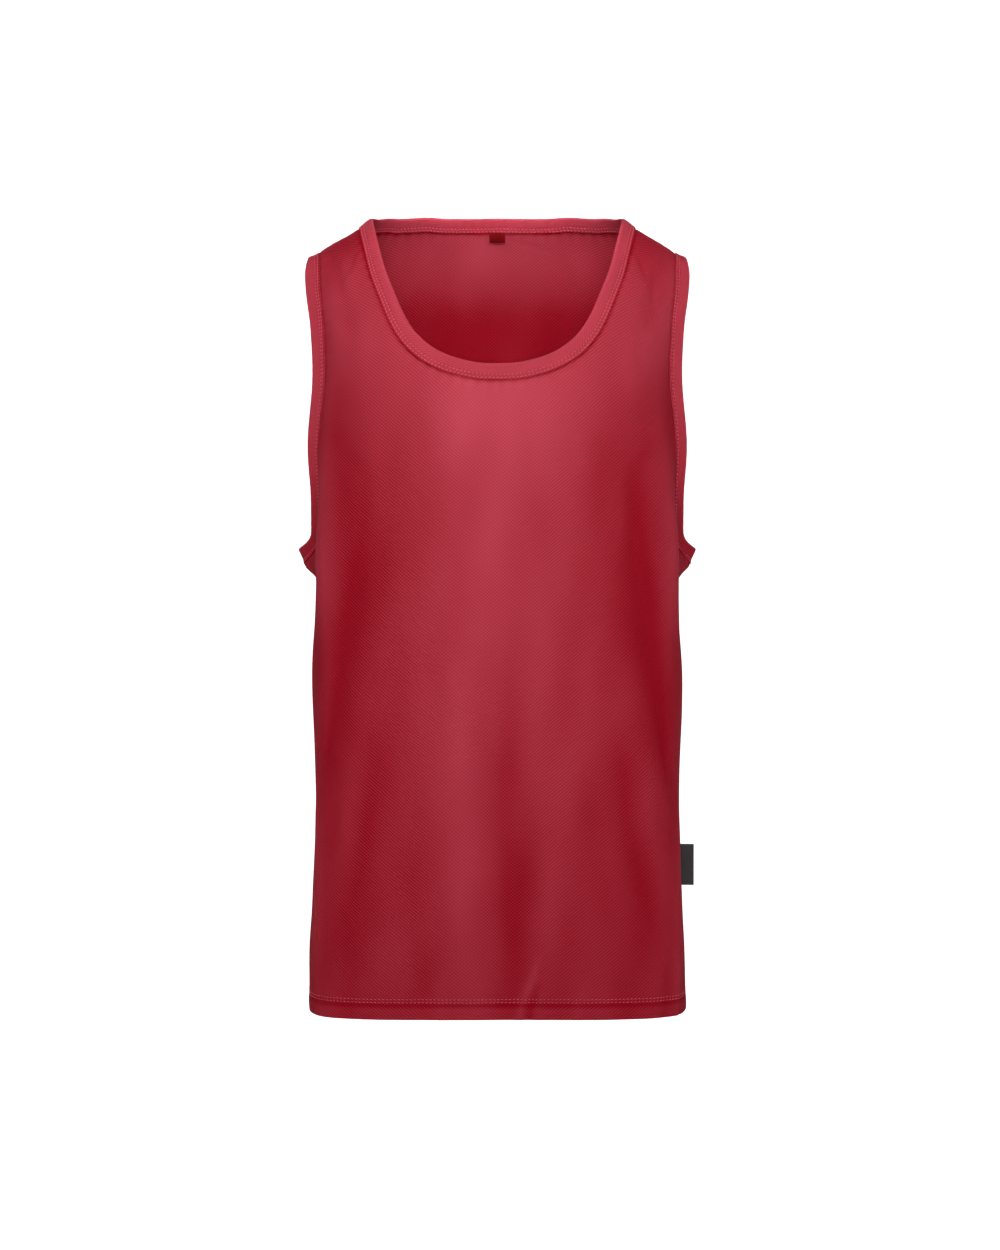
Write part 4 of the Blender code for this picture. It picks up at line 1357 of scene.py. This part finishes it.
area_light("key", (0.0, -1.9, 0.32), (0.0, 0.0, 0.32), (0.40, 1.3), 1.5, 43.0)
area_light("low", (0.0, -1.7, -1.45), (0.0, 0.0, -0.62), (0.8, 0.5), 9.8, 80.0, False)
area_light("top", (0.0, -1.0, 1.50), (0.0, 0.0, -0.05), (1.2, 0.5), 2.2, 80.0, False)
area_light("into_neck", (0.0, -0.9, 0.55), (0.0, 0.11, -0.02), (0.3, 0.2), 0.18, 21.0, False)
area_light("left", (1.6, -1.1, 0.25), (0.10, 0.0, -0.12), (0.5, 0.9), 1.3, 70.0, False)
area_light("right", (-1.6, -1.1, 0.25), (-0.10, 0.0, -0.12), (0.5, 0.9), 1.3, 70.0, False)
area_light("left_low", (1.7, -0.5, -0.75), (0.16, 0.0, -0.60), (0.4, 0.5), 0.46, 50.0, False)
area_light("right_low", (-1.7, -0.5, -0.75), (-0.16, 0.0, -0.60), (0.4, 0.5), 0.46, 50.0, False)
area_light("rear", (0.0, 2.4, 1.2), (0.0, 0.0, -0.30), (2.4, 1.2), 22.0, 180.0, False)

world = bpy.data.worlds.new("studio")
world.use_nodes = True
world.node_tree.nodes["Background"].inputs["Color"].default_value = (1.0, 1.0, 1.0, 1.0)
world.node_tree.nodes["Background"].inputs["Strength"].default_value = 0.06
bpy.context.scene.world = world

bpy.context.scene.view_settings.view_transform = "Standard"
bpy.context.scene.view_settings.look = "None"

FLOOR_Z = -1.35
SWEEP = (
    (-3.2, 0.0), (0.3, 0.0), (0.9, 0.0), (1.6, 0.0), (2.3, 0.03),
    (2.9, 0.16), (3.3, 0.45), (3.5, 0.95), (3.55, 1.9), (3.55, 4.0),
)
rows = smooth_path(SWEEP, 60)
verts = [(x, y, FLOOR_Z + up) for y, up in rows for x in (-3.0, 3.0)]
sweep_mesh = bpy.data.meshes.new("backdrop")
sweep_mesh.from_pydata(verts, [], [(2 * i, 2 * i + 1, 2 * i + 3, 2 * i + 2) for i in range(len(rows) - 1)])
sweep_mesh.shade_smooth()
paper = Nodes("white_paper")
split = paper.tree.nodes.new("ShaderNodeSeparateXYZ")
paper.put(split.inputs[0], paper.place())
paper.put(paper.shader.inputs["Emission Strength"], paper.spread(split.outputs[1], 0.7, 1.6, 0.0, 0.95))
paper.shader.inputs["Emission Color"].default_value = (1.0, 1.0, 1.0, 1.0)
paper.shader.inputs["Base Color"].default_value = (0.80, 0.80, 0.80, 1.0)
paper.shader.inputs["Roughness"].default_value = 0.9
paper.shader.inputs["Specular IOR Level"].default_value = 0.1
sweep_mesh.materials.append(paper.material)
backdrop = bpy.data.objects.new("backdrop", sweep_mesh)
bpy.context.scene.collection.objects.link(backdrop)
backdrop.visible_glossy = False

bpy.context.view_layer.update()
